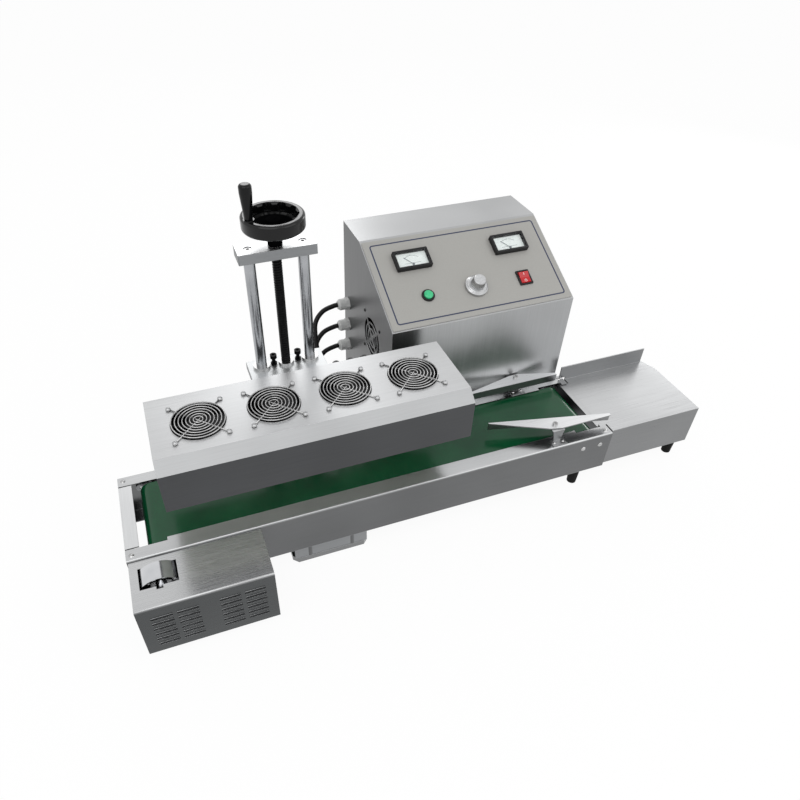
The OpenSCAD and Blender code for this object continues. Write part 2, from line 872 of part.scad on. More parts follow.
module lead_screw() {
    color([0.12, 0.12, 0.13]) place() translate([tower_x, tower_y, 0]) {
        translate([0, 0, base_t + slip_gap]) cylinder(r = screw_r, h = top_plate_z - base_t - 2 * slip_gap);
        translate([0, 0, 2 + slip_gap]) cylinder(r = journal_r, h = rim_z + rim_h / 2 - 2);
    }
}

module handwheel() {
    inner = handwheel_r - rim_w;
    round_r = 4;
    color(black) place() {
        translate([tower_x, tower_y, 0]) difference() {
            union() {
                translate([0, 0, plate_top + slip_gap]) cylinder(r = hub_r, h = rim_lift + 12);
                translate([0, 0, rim_z]) rotate_extrude() polygon([[hub_r - 1, -4], [inner + 2, 2],
                    [inner + 2, 8], [hub_r - 1, 2]]);
                translate([0, 0, rim_z]) rotate_extrude() translate([handwheel_r - rim_w / 2, rim_h / 2]) {
                    rounded_rect(rim_w, rim_h, round_r);
                }
            }
            for (i = [0 : grip_count - 1]) {
                rotate((i + 0.5) * 360 / grip_count) translate([inner - 4, 0, rim_z + rim_h * 0.45]) {
                    cylinder(r = 7.5, h = rim_h);
                }
            }
            translate([0, 0, plate_top]) cylinder(r = journal_r, h = rim_lift + rim_h / 2 + slip_gap);
        }
        translate([handle_at[0], handle_at[1], rim_z + rim_h / 2]) cylinder(r = 7.5, h = rim_h / 2 + 1);
        translate([handle_at[0], handle_at[1], rim_z + rim_h]) cylinder(r = spindle_r, h = handle_len - 6);
    }
}

module crank_handle() {
    base_r = 5.5;
    top_r = handle_d / 2;
    dome_h = 4;
    color(black) place() translate([handle_at[0], handle_at[1], rim_z + rim_h + 1 + slip_gap]) difference() {
        rotate_extrude() {
            polygon([[0, 0], [base_r, 0], [base_r + 1, handle_len * 0.25], [top_r, handle_len * 0.75],
                [top_r, handle_len - dome_h], [0, handle_len - dome_h]]);
            translate([0, handle_len - dome_h]) intersection() {
                translate([top_r - dome_h, 0]) circle(dome_h);
                square([top_r, dome_h]);
            }
            translate([0, handle_len - 2 * dome_h]) square([top_r - dome_h, 2 * dome_h]);
        }
        translate([0, 0, -cut]) cylinder(r = spindle_r + fit_gap, h = handle_len - 6 + cut);
    }
}

module carriage() {
    face_t = 8;
    drop = head_top - 15 - head_z - 8;
    rib_t = 6;
    color(aluminium) place() translate([tower_x - carriage_w / 2, 0, 0]) {
        difference() {
            union() {
                translate([0, carriage_y[0], carriage_top - carriage_t]) {
                    cube([carriage_w, carriage_y[1] - carriage_y[0], carriage_t]);
                }
                translate([0, carriage_y[0], carriage_top - drop]) cube([carriage_w, face_t, drop]);
                for (x = [-1, 1]) {
                    translate([carriage_w / 2 + x * stop_x - rib_t / 2, 0, carriage_top]) along_x(rib_t) {
                        polygon([[carriage_y[0] + 1, 1 - drop], [carriage_y[0] + face_t, 1 - drop],
                            [tower_y - 9, -carriage_t], [tower_y - 9, -1], [carriage_y[0] + 1, -1]]);
                    }
                }
            }
            for (x = [-1, 1]) {
                translate([carriage_w / 2 + x * column_pitch / 2, tower_y, carriage_top - drop]) {
                    cylinder(r = bush_r, h = drop + cut);
                }
                translate([carriage_w / 2 + x * stop_x, tower_y, carriage_top - carriage_t - cut]) {
                    cylinder(r = 3, h = carriage_t + 2 * cut);
                }
            }
            translate([carriage_w / 2, tower_y, carriage_top - drop]) cylinder(r = nut_r, h = drop + cut);
        }
    }
}

// Flanged bush hanging through the carriage plate
module flange_bush(bore, body, len) {
    difference() {
        union() {
            translate([0, 0, -len]) cylinder(r = body, h = len);
            cylinder(r = body + 1.5, h = 4);
        }
        translate([0, 0, -len - cut]) cylinder(r = bore, h = len + 4 + 2 * cut);
    }
}

module carriage_bushes() {
    color(chrome) place() translate([0, tower_y, carriage_top]) {
        for (x = column_x) {
            translate([x, 0, 0]) flange_bush(column_r + fit_gap, bush_r, bush_len);
        }
        translate([tower_x, 0, 0]) flange_bush(screw_r + fit_gap, nut_r, bush_len * 0.7);
    }
}

module head_screws() {
    color(black) place() {
        for (x = [-1, 1]) {
            translate([tower_x + x * stop_x, tower_y, carriage_top]) {
                cylinder(r = 5, h = 4, $fn = 6);
                translate([0, 0, 12]) cap_screw(3, 6, 12 + carriage_t);
            }
        }
        for (x = fan_x, sx = [-1, 1], sy = [-1, 1]) {
            translate([x + sx * fan_hole, head_setback + fan_y + sy * fan_hole, head_top]) {
                translate([0, 0, guard_eye_h]) dome(3.4, 1.8);
                translate([0, 0, -cover_t - 6]) cylinder(r = 1.8, h = guard_eye_h + cover_t + 6.2);
            }
        }
    }
}

// Side outline of the head, drawn in by inset
module head_2d(inset) {
    slope = atan2(bevel_h, bevel_w);
    difference() {
        translate([inset, 0]) square([head_w - 2 * inset, head_h - inset]);
        translate([0, head_h - bevel_h]) rotate(slope) translate([-head_w, -inset]) {
            square([2 * head_w, head_h]);
        }
    }
}

module head_housing() {
    color(stainless) place() translate([head_x, head_setback, head_z]) difference() {
        along_x(head_len) head_2d(0);
        translate([cover_t, 0, 0]) along_x(head_len - 2 * cover_t) head_2d(cover_t);
        translate([cover_t, cover_t, -cut]) cube([head_len - 2 * cover_t, head_w - 2 * cover_t, 3 * cut]);
        for (x = fan_x) {
            translate([x - head_x, fan_y, head_h - cover_t - cut]) {
                cylinder(r = fan_duct_r, h = cover_t + 2 * cut);
                for (sx = [-1, 1], sy = [-1, 1]) {
                    translate([sx * fan_hole, sy * fan_hole, 0]) {
                        cylinder(r = 2, h = cover_t + 2 * cut);
                    }
                }
            }
        }
        for (x = head_gland_x) {
            translate([x - head_x, head_w - cover_t - cut, head_gland_z - head_z]) {
                rod_y(gland_r * 0.6, cover_t + 2 * cut);
            }
        }
    }
}

module coil_plate() {
    color([0.9, 0.9, 0.88]) place() translate(head_mid) {
        linear_extrude(coil_plate_t) {
            rounded_rect(head_len - 2 * cover_t - slip_gap, head_w - 2 * cover_t - slip_gap, 2);
        }
    }
}

module induction_coil() {
    color([0.72, 0.42, 0.2]) place() translate(head_mid + [0, 0, coil_plate_t]) {
        linear_extrude(coil_t) difference() {
            rounded_rect(coil_len, coil_w, coil_w / 2 - 1);
            rounded_rect(coil_len - 2 * coil_band, coil_w - 2 * coil_band, (coil_w - 2 * coil_band) / 2 - 1);
        }
    }
}

module ferrite_bars() {
    step = (coil_len - 60) / (ferrite_count - 1);
    color([0.2, 0.2, 0.21]) place() for (i = [0 : ferrite_count - 1]) {
        translate(head_mid + [(i - (ferrite_count - 1) / 2) * step, 0, coil_plate_t + coil_t]) {
            linear_extrude(ferrite_t) rounded_rect(18, coil_w + 6, 2);
        }
    }
}

// Square fan frame with round duct, motor seat and four struts, standing on the XY plane
module fan_frame() {
    strut_t = 4;
    difference() {
        linear_extrude(fan_depth) difference() {
            rounded_rect(fan_size, fan_size, 4);
            circle(fan_duct_r - 0.4);
            for (x = [-1, 1], y = [-1, 1]) {
                translate([x, y] * fan_hole) circle(2);
            }
        }
        for (a = [0 : 90 : 270]) {
            rotate(a) translate([fan_size / 2 - 1, -fan_size * 0.36, strut_t]) {
                cube([2, fan_size * 0.72, fan_depth - 2 * strut_t]);
            }
        }
    }
    difference() {
        union() {
            cylinder(r = fan_hub_r, h = strut_t);
            for (a = [0 : 90 : 270]) {
                rotate(a) translate([0, -2, 0]) cube([fan_duct_r + 0.5, 4, strut_t]);
            }
        }
        translate([0, 0, -cut]) cylinder(r = 1.5 + fit_gap, h = strut_t + 2 * cut);
    }
}

// Rotor of a fan: hub, shaft and seven pitched blades
module fan_rotor() {
    blades = 7;
    tip_r = fan_duct_r - 2;
    low = 5.5;
    high = fan_depth - 2;
    translate([0, 0, low]) cylinder(r = fan_hub_r - 0.5, h = high - low);
    translate([0, 0, 1]) cylinder(r = 1.5, h = low);
    intersection() {
        for (i = [0 : blades - 1]) {
            rotate(i * 360 / blades) translate([0, 0, (low + high) / 2]) rotate([38, 0, 0]) {
                translate([fan_hub_r - 2, -13, -0.8]) cube([tip_r, 26, 1.6]);
            }
        }
        translate([0, 0, low]) cylinder(r = tip_r, h = high - low);
    }
}

// Eight-sided section of the guard wire
module wire_2d() {
    rotate(22.5) circle(d = wire_d, $fn = 8);
}

// Wire finger guard lying on the XY plane
module fan_guard() {
    ring_r = [0.24, 0.42, 0.60, 0.78, 0.96] * fan_duct_r;
    eye_r = fan_hole * sqrt(2);
    arm_z = guard_eye_h / 2;
    for (r = ring_r) {
        translate([0, 0, arm_z + 0.45 * wire_d]) rotate_extrude() translate([r, 0]) wire_2d();
    }
    for (a = [45 : 90 : 315]) {
        rotate(a) difference() {
            union() {
                translate([ring_r[0], 0, arm_z]) along_x(eye_r - ring_r[0] - 3) wire_2d();
                translate([eye_r, 0, 0]) cylinder(r = 3.8, h = guard_eye_h);
            }
            translate([eye_r, 0, -cut]) cylinder(r = 2, h = guard_eye_h + 2 * cut);
        }
    }
}

module fan_frames() {
    color(black) place() for (x = fan_x) {
        translate([x, head_setback + fan_y, fan_bottom]) fan_frame();
    }
}

module fan_guards() {
    color(chrome) place() for (x = fan_x) {
        translate([x, head_setback + fan_y, head_top]) fan_guard();
    }
}

module head_fan_rotor(i) {
    color(black) place() translate([fan_x[i], head_setback + fan_y, fan_bottom]) rotate(i * 17) fan_rotor();
}

module fan_rotor_1() {
    head_fan_rotor(0);
}

module fan_rotor_2() {
    head_fan_rotor(1);
}

module fan_rotor_3() {
    head_fan_rotor(2);
}

module fan_rotor_4() {
    head_fan_rotor(3);
}

// Cable gland along +Z: hexagon body, cap nut, bore for the cable from the cap down to z = floor
module gland(floor) {
    difference() {
        union() {
            rotate(30) cylinder(r = gland_r, h = 7, $fn = 6);
            rotate_extrude() polygon([[0, -6], [gland_r * 0.58, -6], [gland_r * 0.58, 5], [gland_r * 0.88, 5],
                [gland_r * 0.88, gland_len - 4], [gland_r * 0.62, gland_len], [0, gland_len]]);
        }
        translate([0, 0, floor]) cylinder(r = gland_bore, h = gland_len - floor + cut);
    }
}

module head_glands() {
    color([0.7, 0.7, 0.7]) place() for (x = head_gland_x) {
        translate([x, head_back, head_gland_z]) rotate([-90, 0, 0]) gland(gland_len - cable_seat);
    }
}

module cable_glands() {
    color([0.7, 0.7, 0.7]) place() {
        for (z = gland_z) {
            translate([box_x, gland_y, z]) rotate([0, -90, 0]) gland(gland_len - cable_seat);
        }
        translate([mains_gland[0], box_back_y + cover_t, mains_gland[1]]) {
            rotate([-90, 0, 0]) gland(-6 - cut);
        }
    }
}

// Side outline of the control box, drawn in by inset, its slope lower by drop
module box_2d(inset, drop) {
    difference() {
        translate([inset, inset]) square([box_d - 2 * inset, box_h - 2 * inset]);
        translate([0, front_h]) rotate(slope_angle) translate([-box_d, -inset - drop]) {
            square([3 * box_d, box_h]);
        }
    }
}

// Panel frame: X across, Y up the slope, Z out of the panel's face
module on_panel() {
    translate([box_x, box_y, slope_z]) rotate([slope_angle, 0, 0]) children();
}

// Vent cut-outs: rings of slots between four spokes
module vent_2d() {
    difference() {
        for (r = [0.3, 0.58, 0.86]) {
            difference() {
                circle(fan_duct_r * (r + 0.1));
                circle(fan_duct_r * (r - 0.1));
            }
        }
        for (a = [45, 135]) {
            rotate(a) square([fan_size, 5], center = true);
        }
    }
}

module control_box() {
    color(stainless) place() difference() {
        translate([box_x, box_y, box_foot_h]) along_x(box_w) box_2d(0, panel_t);
        translate([box_x + cover_t, box_y, box_foot_h]) along_x(box_w - 2 * cover_t) {
            box_2d(cover_t, panel_t);
        }
        translate([box_x + panel_rim, box_back_y - cover_t - cut, box_foot_h + panel_rim]) {
            cube([box_w - 2 * panel_rim, cover_t + 2 * cut, box_h - 2 * panel_rim]);
        }
        on_panel() translate([panel_rim, panel_rim, -panel_t - 3 * cover_t]) {
            cube([box_w - 2 * panel_rim, slope_len - 2 * panel_rim, 4 * cover_t]);
        }
        translate([box_x - cut, box_fan_at[0], box_fan_at[1]]) {
            rotate([0, 90, 0]) linear_extrude(cover_t + 2 * cut) vent_2d();
            for (y = [-1, 1], z = [-1, 1]) {
                translate([0, y * fan_hole, z * fan_hole]) {
                    rod_x(1.8, cover_t + 2 * cut);
                }
            }
        }
        for (z = gland_z) {
            translate([box_x - cut, gland_y, z]) rod_x(gland_r * 0.6, cover_t + 2 * cut);
        }
    }
}

module box_back() {
    color(stainless) place() difference() {
        translate([box_x, box_back_y, box_foot_h]) cube([box_w, cover_t, box_h]);
        translate([mains_gland[0], box_back_y - cut, mains_gland[1]]) {
            rod_y(gland_r * 0.6, cover_t + 2 * cut);
        }
        for (i = [0 : 6]) {
            translate([box_x + box_w * 0.25, box_back_y - cut, box_top - 60 - i * 12]) {
                cube([box_w * 0.5, cover_t + 2 * cut, 4]);
            }
        }
    }
}

module control_panel() {
    hole = [0, 0, -panel_t - cut];
    depth = panel_t + 2 * cut;
    color([0.68, 0.69, 0.69]) place() on_panel() difference() {
        translate([box_w / 2, slope_len / 2, -panel_t]) linear_extrude(panel_t) {
            rounded_rect(box_w - 2 * panel_side, slope_len - 2 * panel_side, 2);
        }
        for (u = meter_u) {
            translate([u, meter_s, 0] + hole) cylinder(r = meter_h * 0.4, h = depth);
        }
        translate([knob_u, control_s, 0] + hole) cylinder(r = 5, h = depth);
        translate([button_u, control_s, 0] + hole) cylinder(r = button_d / 2 + 1, h = depth);
        translate([rocker_u, control_s, 0] + hole) linear_extrude(depth) {
            square([rocker_w - 3, rocker_h - 3], center = true);
        }
    }
}

module power_module() {
    fin_h = 46;
    fins = 11;
    size = [170, 130];
    color([0.3, 0.33, 0.3]) place() translate([box_x + box_w / 2, box_y + box_d / 2, box_foot_h + cover_t]) {
        linear_extrude(8) square(size, center = true);
        for (i = [0 : fins - 1]) {
            translate([-size[0] / 2 + i * (size[0] - 4) / (fins - 1), -size[1] / 2, 0]) {
                cube([4, size[1] * 0.5, fin_h]);
            }
        }
        translate([0, size[1] * 0.24, 8]) rotate_extrude() translate([26, 18]) rounded_rect(22, 36, 6);
    }
}

module on_box_fan() {
    translate([box_x + cover_t, box_fan_at[0], box_fan_at[1]]) rotate([0, 90, 0]) {
        translate([0, 0, fan_depth]) mirror([0, 0, 1]) children();
    }
}

module box_fan() {
    color(black) place() {
        on_box_fan() fan_frame();
        for (y = [-1, 1], z = [-1, 1]) {
            translate([box_x, box_fan_at[0] + y * fan_hole, box_fan_at[1] + z * fan_hole]) {
                rotate([0, -90, 0]) dome(3.4, 1.8);
                rod_x(1.7, cover_t + 8);
            }
        }
    }
}

module box_fan_rotor() {
    color(black) place() on_box_fan() fan_rotor();
}

// Clear opening in the face of a meter
meter_view = [meter_w - 2 * meter_frame, meter_h - 2 * meter_frame];

module meter_cases() {
    color(black) place() on_panel() for (u = meter_u) {
        translate([u, meter_s, 0]) {
            difference() {
                linear_extrude(meter_front) rounded_rect(meter_w, meter_h, 1.5);
                translate([0, 0, 2]) linear_extrude(meter_front) square(meter_view, center = true);
            }
            translate([0, 0, -22]) cylinder(r = meter_h * 0.4 - slip_gap, h = 23);
        }
    }
}

module meter_dials() {
    color([0.95, 0.95, 0.93]) place() on_panel() for (u = meter_u) {
        translate([u, meter_s, 2]) difference() {
            linear_extrude(1.5) square(meter_view - [slip_gap, slip_gap], center = true);
            translate([0, -dial_pivot, 0.2]) cylinder(r = 1 + fit_gap, h = 2);
        }
    }
}

module meter_lenses() {
    color([0.85, 0.9, 0.92, 0.4]) place() on_panel() for (u = meter_u) {
        translate([u, meter_s, meter_front - 2.5]) linear_extrude(1.5) {
            square(meter_view - [slip_gap, slip_gap], center = true);
        }
    }
}

// Needle resting at the left end of its scale
module needle(u) {
    color([0.1, 0.1, 0.1]) place() on_panel() translate([u, meter_s - dial_pivot, 3.5]) {
        translate([0, 0, -1]) cylinder(r = 1, h = 2);
        translate([0, 0, slip_gap]) cylinder(r = 2, h = 1.2);
        rotate(42) translate([-0.3, 0, slip_gap + 0.3]) cube([0.6, meter_view[1] * 0.72, 0.6]);
    }
}

module needle_left() {
    needle(meter_u[0]);
}

module needle_right() {
    needle(meter_u[1]);
}

module switch_bodies() {
    color(black) place() on_panel() translate([0, control_s, 0]) {
        // potentiometer with its threaded bush
        translate([knob_u, 0, 0]) difference() {
            union() {
                translate([0, 0, -panel_t - 14]) cylinder(r = 13, h = 14);
                translate([0, 0, -panel_t - 1]) cylinder(r = 4.8, h = panel_t + 2);
            }
            translate([0, 0, -panel_t - 9]) cylinder(r = 3 + fit_gap, h = panel_t + 12);
        }
        // push button housing with bezel
        translate([button_u, 0, 0]) difference() {
            union() {
                translate([0, 0, -panel_t - 20]) cylinder(r = button_d / 2 + 0.8, h = panel_t + 21);
                cylinder(r = button_d / 2 + 2.5, h = 2.4);
            }
            translate([0, 0, -8]) cylinder(r = button_d / 2 - 1 + slip_gap, h = 12);
        }
        // mains switch frame
        translate([rocker_u, 0, 0]) difference() {
            union() {
                linear_extrude(2.4) rounded_rect(rocker_w, rocker_h, 1.5);
                translate([0, 0, -panel_t - 18]) linear_extrude(panel_t + 19) {
                    square([rocker_w - 4, rocker_h - 4], center = true);
                }
            }
            translate([0, 0, -12]) linear_extrude(16) square([rocker_w - 6, rocker_h - 5], center = true);
            translate([-rocker_w, 0, rocker_pivot]) rod_x(rocker_pin_r + fit_gap, 2 * rocker_w);
        }
    }
}

module power_knob() {
    cap_r = knob_d * 0.26;
    color(chrome) place() on_panel() translate([knob_u, control_s, 0]) {
        translate([0, 0, 1 + slip_gap]) rotate_extrude() polygon([[0, 0], [knob_d / 2, 0], [knob_d / 2, 3.5],
            [knob_d / 2 - 4, 7], [cap_r + 1.5, 7], [cap_r, 20], [cap_r - 1.5, 21.5], [0, 21.5]]);
        translate([0, 0, -panel_t - 8]) cylinder(r = 3, h = panel_t + 10);
    }
}

module push_button() {
    cap_r = button_d / 2 - 1;
    color([0.2, 0.72, 0.48]) place() on_panel() translate([button_u, control_s, -3]) {
        cylinder(r = cap_r, h = 8);
        translate([0, 0, 8]) dome(cap_r, 2);
    }
}

module rocker() {
    half = (rocker_w - 6) / 2 - slip_gap;
    pin_half = (rocker_w - 4) / 2 - 0.1;
    color([0.8, 0.08, 0.08]) place() on_panel() translate([rocker_u - half, control_s, rocker_pivot]) {
        rotate([rocker_tilt, 0, 0]) along_x(2 * half) intersection() {
            circle(rocker_r);
            union() {
                for (side = [0, 1]) {
                    mirror([side, 0]) polygon([[0, -7], [rocker_r, -7], [rocker_r, 5.5], [0, 4]]);
                }
            }
        }
        translate([half - pin_half, 0, 0]) rod_x(rocker_pin_r, 2 * pin_half);
    }
}

// Point on a smooth curve through the route's points, at parameter s in spans
function spline(p, s) =
    let (n = len(p) - 1, i = min(floor(s), n - 1), t = s - i)
    let (a = p[max(i - 1, 0)], b = p[i], c = p[i + 1], d = p[min(i + 2, n)])
    0.5 * (2 * b + (c - a) * t + (2 * a - 5 * b + 4 * c - d) * t * t + (3 * b - a - 3 * c + d) * t * t * t);

function unit(v) = v / norm(v);

// Ring normals carried along the curve without twist
function carry(dirs, i, n) = i >= len(dirs) ? [] :
    let (m = unit(n - dirs[i] * (n * dirs[i]))) concat([m], carry(dirs, i + 1, m));

// Round tube swept along a route, its ends square to start_dir and end_dir
module cable(route, start_dir, end_dir) {
    path = [for (k = [0 : cable_rings]) spline(route, k * (len(route) - 1) / cable_rings)];
    dirs = [for (k = [0 : cable_rings])
        k == 0 ? start_dir : k == cable_rings ? end_dir : unit(path[k + 1] - path[k - 1])];
    sides = carry(dirs, 0, [0, 0, 1]);
    ring = cable_d / 2 - fit_gap;
    points = [for (k = [0 : cable_rings]) for (j = [0 : cable_sides - 1])
        let (a = j * 360 / cable_sides)
        path[k] + ring * (cos(a) * sides[k] + sin(a) * cross(dirs[k], sides[k]))];
    walls = [for (k = [0 : cable_rings - 1]) for (j = [0 : cable_sides - 1])
        let (a = k * cable_sides + j, b = k * cable_sides + (j + 1) % cable_sides)
        each [[a, a + cable_sides, b], [b, a + cable_sides, b + cable_sides]]];
    last = cable_rings * cable_sides;
    caps = [[for (j = [0 : cable_sides - 1]) j],
        [for (j = [0 : cable_sides - 1]) last + cable_sides - 1 - j]];
    polyhedron(points, concat(walls, caps));
}

module cable_1() {
    color(black) place() cable(route_1, [-1, 0, 0], [0, -1, 0]);
}

module cable_2() {
    color(black) place() cable(route_2, [-1, 0, 0], [0, -1, 0]);
}

module cable_3() {
    color(black) place() cable(route_3, [-1, 0, 0], [0, -1, 0]);
}

front_rail();
back_rail();
end_plates();
frame_spacers();
slider_bed();
belt();
drive_roller();
idler_roller();
roller_bearings();
frame_bolts();
feet();
guide_posts();
guide_plate_front();
guide_plate_rear();
extension_table();
drive_box();
drive_motor();
speed_control();
speed_wheel();
base_plate();
columns();
top_plate();
lead_screw();
handwheel();
crank_handle();
carriage();
carriage_bushes();
head_screws();
head_housing();
coil_plate();
induction_coil();
ferrite_bars();
fan_frames();
fan_guards();
fan_rotor_1();
fan_rotor_2();
fan_rotor_3();
fan_rotor_4();
head_glands();
control_box();
box_back();
control_panel();
power_module();
box_fan();
box_fan_rotor();
meter_cases();
meter_dials();
meter_lenses();
needle_left();
needle_right();
switch_bodies();
power_knob();
push_button();
rocker();
cable_glands();
cable_1();
cable_2();
cable_3();
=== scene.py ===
import math

import bmesh
import bpy
from mathutils import Matrix, Vector


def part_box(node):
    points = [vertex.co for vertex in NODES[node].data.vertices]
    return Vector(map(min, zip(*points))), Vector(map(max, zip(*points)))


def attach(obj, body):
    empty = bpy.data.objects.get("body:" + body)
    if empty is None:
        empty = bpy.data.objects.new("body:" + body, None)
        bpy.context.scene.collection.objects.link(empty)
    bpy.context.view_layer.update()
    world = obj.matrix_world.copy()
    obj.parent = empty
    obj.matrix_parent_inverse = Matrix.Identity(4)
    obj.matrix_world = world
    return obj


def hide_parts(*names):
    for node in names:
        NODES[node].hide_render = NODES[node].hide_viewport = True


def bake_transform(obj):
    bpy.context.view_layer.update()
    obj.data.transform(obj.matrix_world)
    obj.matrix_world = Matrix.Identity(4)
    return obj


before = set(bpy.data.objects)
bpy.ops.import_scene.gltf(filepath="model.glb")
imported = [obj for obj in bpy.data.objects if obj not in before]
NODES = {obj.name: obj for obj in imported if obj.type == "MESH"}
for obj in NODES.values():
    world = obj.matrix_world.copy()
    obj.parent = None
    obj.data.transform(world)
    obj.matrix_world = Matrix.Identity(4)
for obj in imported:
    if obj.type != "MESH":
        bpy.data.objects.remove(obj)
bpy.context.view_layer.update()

bl_info = {
    "name": "Induction cap sealer",
    "version": (1, 0, 0),
    "blender": (4, 2, 0),
    "location": "View3D > Sidebar > Sealer",
    "description": "Finishes, cables, panel markings and studio "
    "for a bench-top induction cap sealer",
    "category": "Object",
}

MM = 0.001
# Left front rail corner on the bench, seen from the origin under the middle of the machine
CORNER = Vector((-490.0, -175.85, 0.0)) * MM


def at(x, y, z):
    """Point measured in millimetres from the left front rail corner on the bench."""
    return CORNER + Vector((x, y, z)) * MM


# Lead screw's axis, drive box's front, and a line 0.2 mm past the table's edge
SCREW_AXIS = at(287, 187, 0)
DRIVE_FRONT = at(0, -84, 0).y
STRIP_END = at(800.2, 0, 0).x
# Control panel: X across from the box's left side, Y up the slope, Z out of the face
PANEL = Matrix.Translation(at(457, 172, 287)) @ Matrix.Rotation(math.atan2(79.0, 157.5), 4, "X")
# Places on the panel, in millimetres: both meters across and up, the knob, the rocker
METERS = (75.0, 255.0)
METER_UP = 124.0
KNOB = (167.0, 54.0)
ROCKER = (257.0, 54.0)


class SealerSizes(bpy.types.PropertyGroup):
    """Sizes of the pieces that are added to the solids."""

    cable_d: bpy.props.FloatProperty(
        name="Cable diameter",
        description="Outside diameter of a coil lead",
        default=0.0089,
        unit="LENGTH",
    )
    thread_pitch: bpy.props.FloatProperty(
        name="Thread pitch",
        description="Lift of the head per turn of the screw",
        default=0.004,
        unit="LENGTH",
    )
    thread_depth: bpy.props.FloatProperty(
        name="Thread depth",
        description="Depth of the screw's thread",
        default=0.0013,
        unit="LENGTH",
    )
    line_w: bpy.props.FloatProperty(
        name="Border line",
        description="Width of the panel's printed border",
        default=0.0023,
        unit="LENGTH",
    )
    wire_d: bpy.props.FloatProperty(
        name="Guard wire",
        description="Diameter of the wire of the fan guards",
        default=0.0017,
        unit="LENGTH",
    )
    edge_r: bpy.props.FloatProperty(
        name="Edge rounding",
        description="Rounding of cut and folded sheet edges",
        default=0.0006,
        unit="LENGTH",
    )


class SealerColours(bpy.types.PropertyGroup):
    """Colours of the machine's coloured finishes, as sRGB hex codes."""

    belt: bpy.props.StringProperty(name="Belt", description="Coated belt", default="#094D2C")
    panel: bpy.props.StringProperty(
        name="Panel", description="Printed front panel", default="#9E9D99"
    )
    border: bpy.props.StringProperty(
        name="Border", description="Line round the panel", default="#262D48"
    )
    button: bpy.props.StringProperty(name="Button", description="Start button", default="#2CB678")
    rocker: bpy.props.StringProperty(name="Rocker", description="Mains rocker", default="#B4101A")


def sizes():
    """Sizes as the panel holds them."""
    return bpy.context.scene.sealer_sizes


def colours():
    """Colours as the panel holds them."""
    return bpy.context.scene.sealer_colours


def linear(code):
    """sRGB hex code as linear RGBA."""
    rgb = [int(code[i : i + 2], 16) / 255 for i in (1, 3, 5)]
    return [c / 12.92 if c <= 0.04045 else ((c + 0.055) / 1.055) ** 2.4 for c in rgb] + [1.0]


def plug(tree, node, values):
    """Gives a node's inputs a constant or another node's output."""
    for key, value in values.items():
        if isinstance(value, bpy.types.NodeSocket):
            tree.links.new(value, node.inputs[key])
        else:
            node.inputs[key].default_value = value


def add(tree, kind, values=None, stops=(), **settings):
    """Adds a shader node with its settings, inputs and, on a ramp, (place, hex) stops."""
    node = tree.nodes.new(kind)
    for key, value in settings.items():
        setattr(node, key, value)
    for i, (place, code) in enumerate(stops):
        elements = node.color_ramp.elements
        stop = elements[i] if i < 2 else elements.new(place)
        stop.position = place
        stop.color = linear(code)
    plug(tree, node, values or {})
    return node


def new_material(name):
    """Empty material: itself, its tree, its shader and the object's own coordinates."""
    material = bpy.data.materials.new(name)
    material.use_nodes = True
    tree = material.node_tree
    shader = tree.nodes["Principled BSDF"]
    coords = add(tree, "ShaderNodeTexCoord").outputs["Object"]
    return material, tree, shader, coords


# Most of a noise lies between these two
LOW, HIGH = 0.3, 0.7


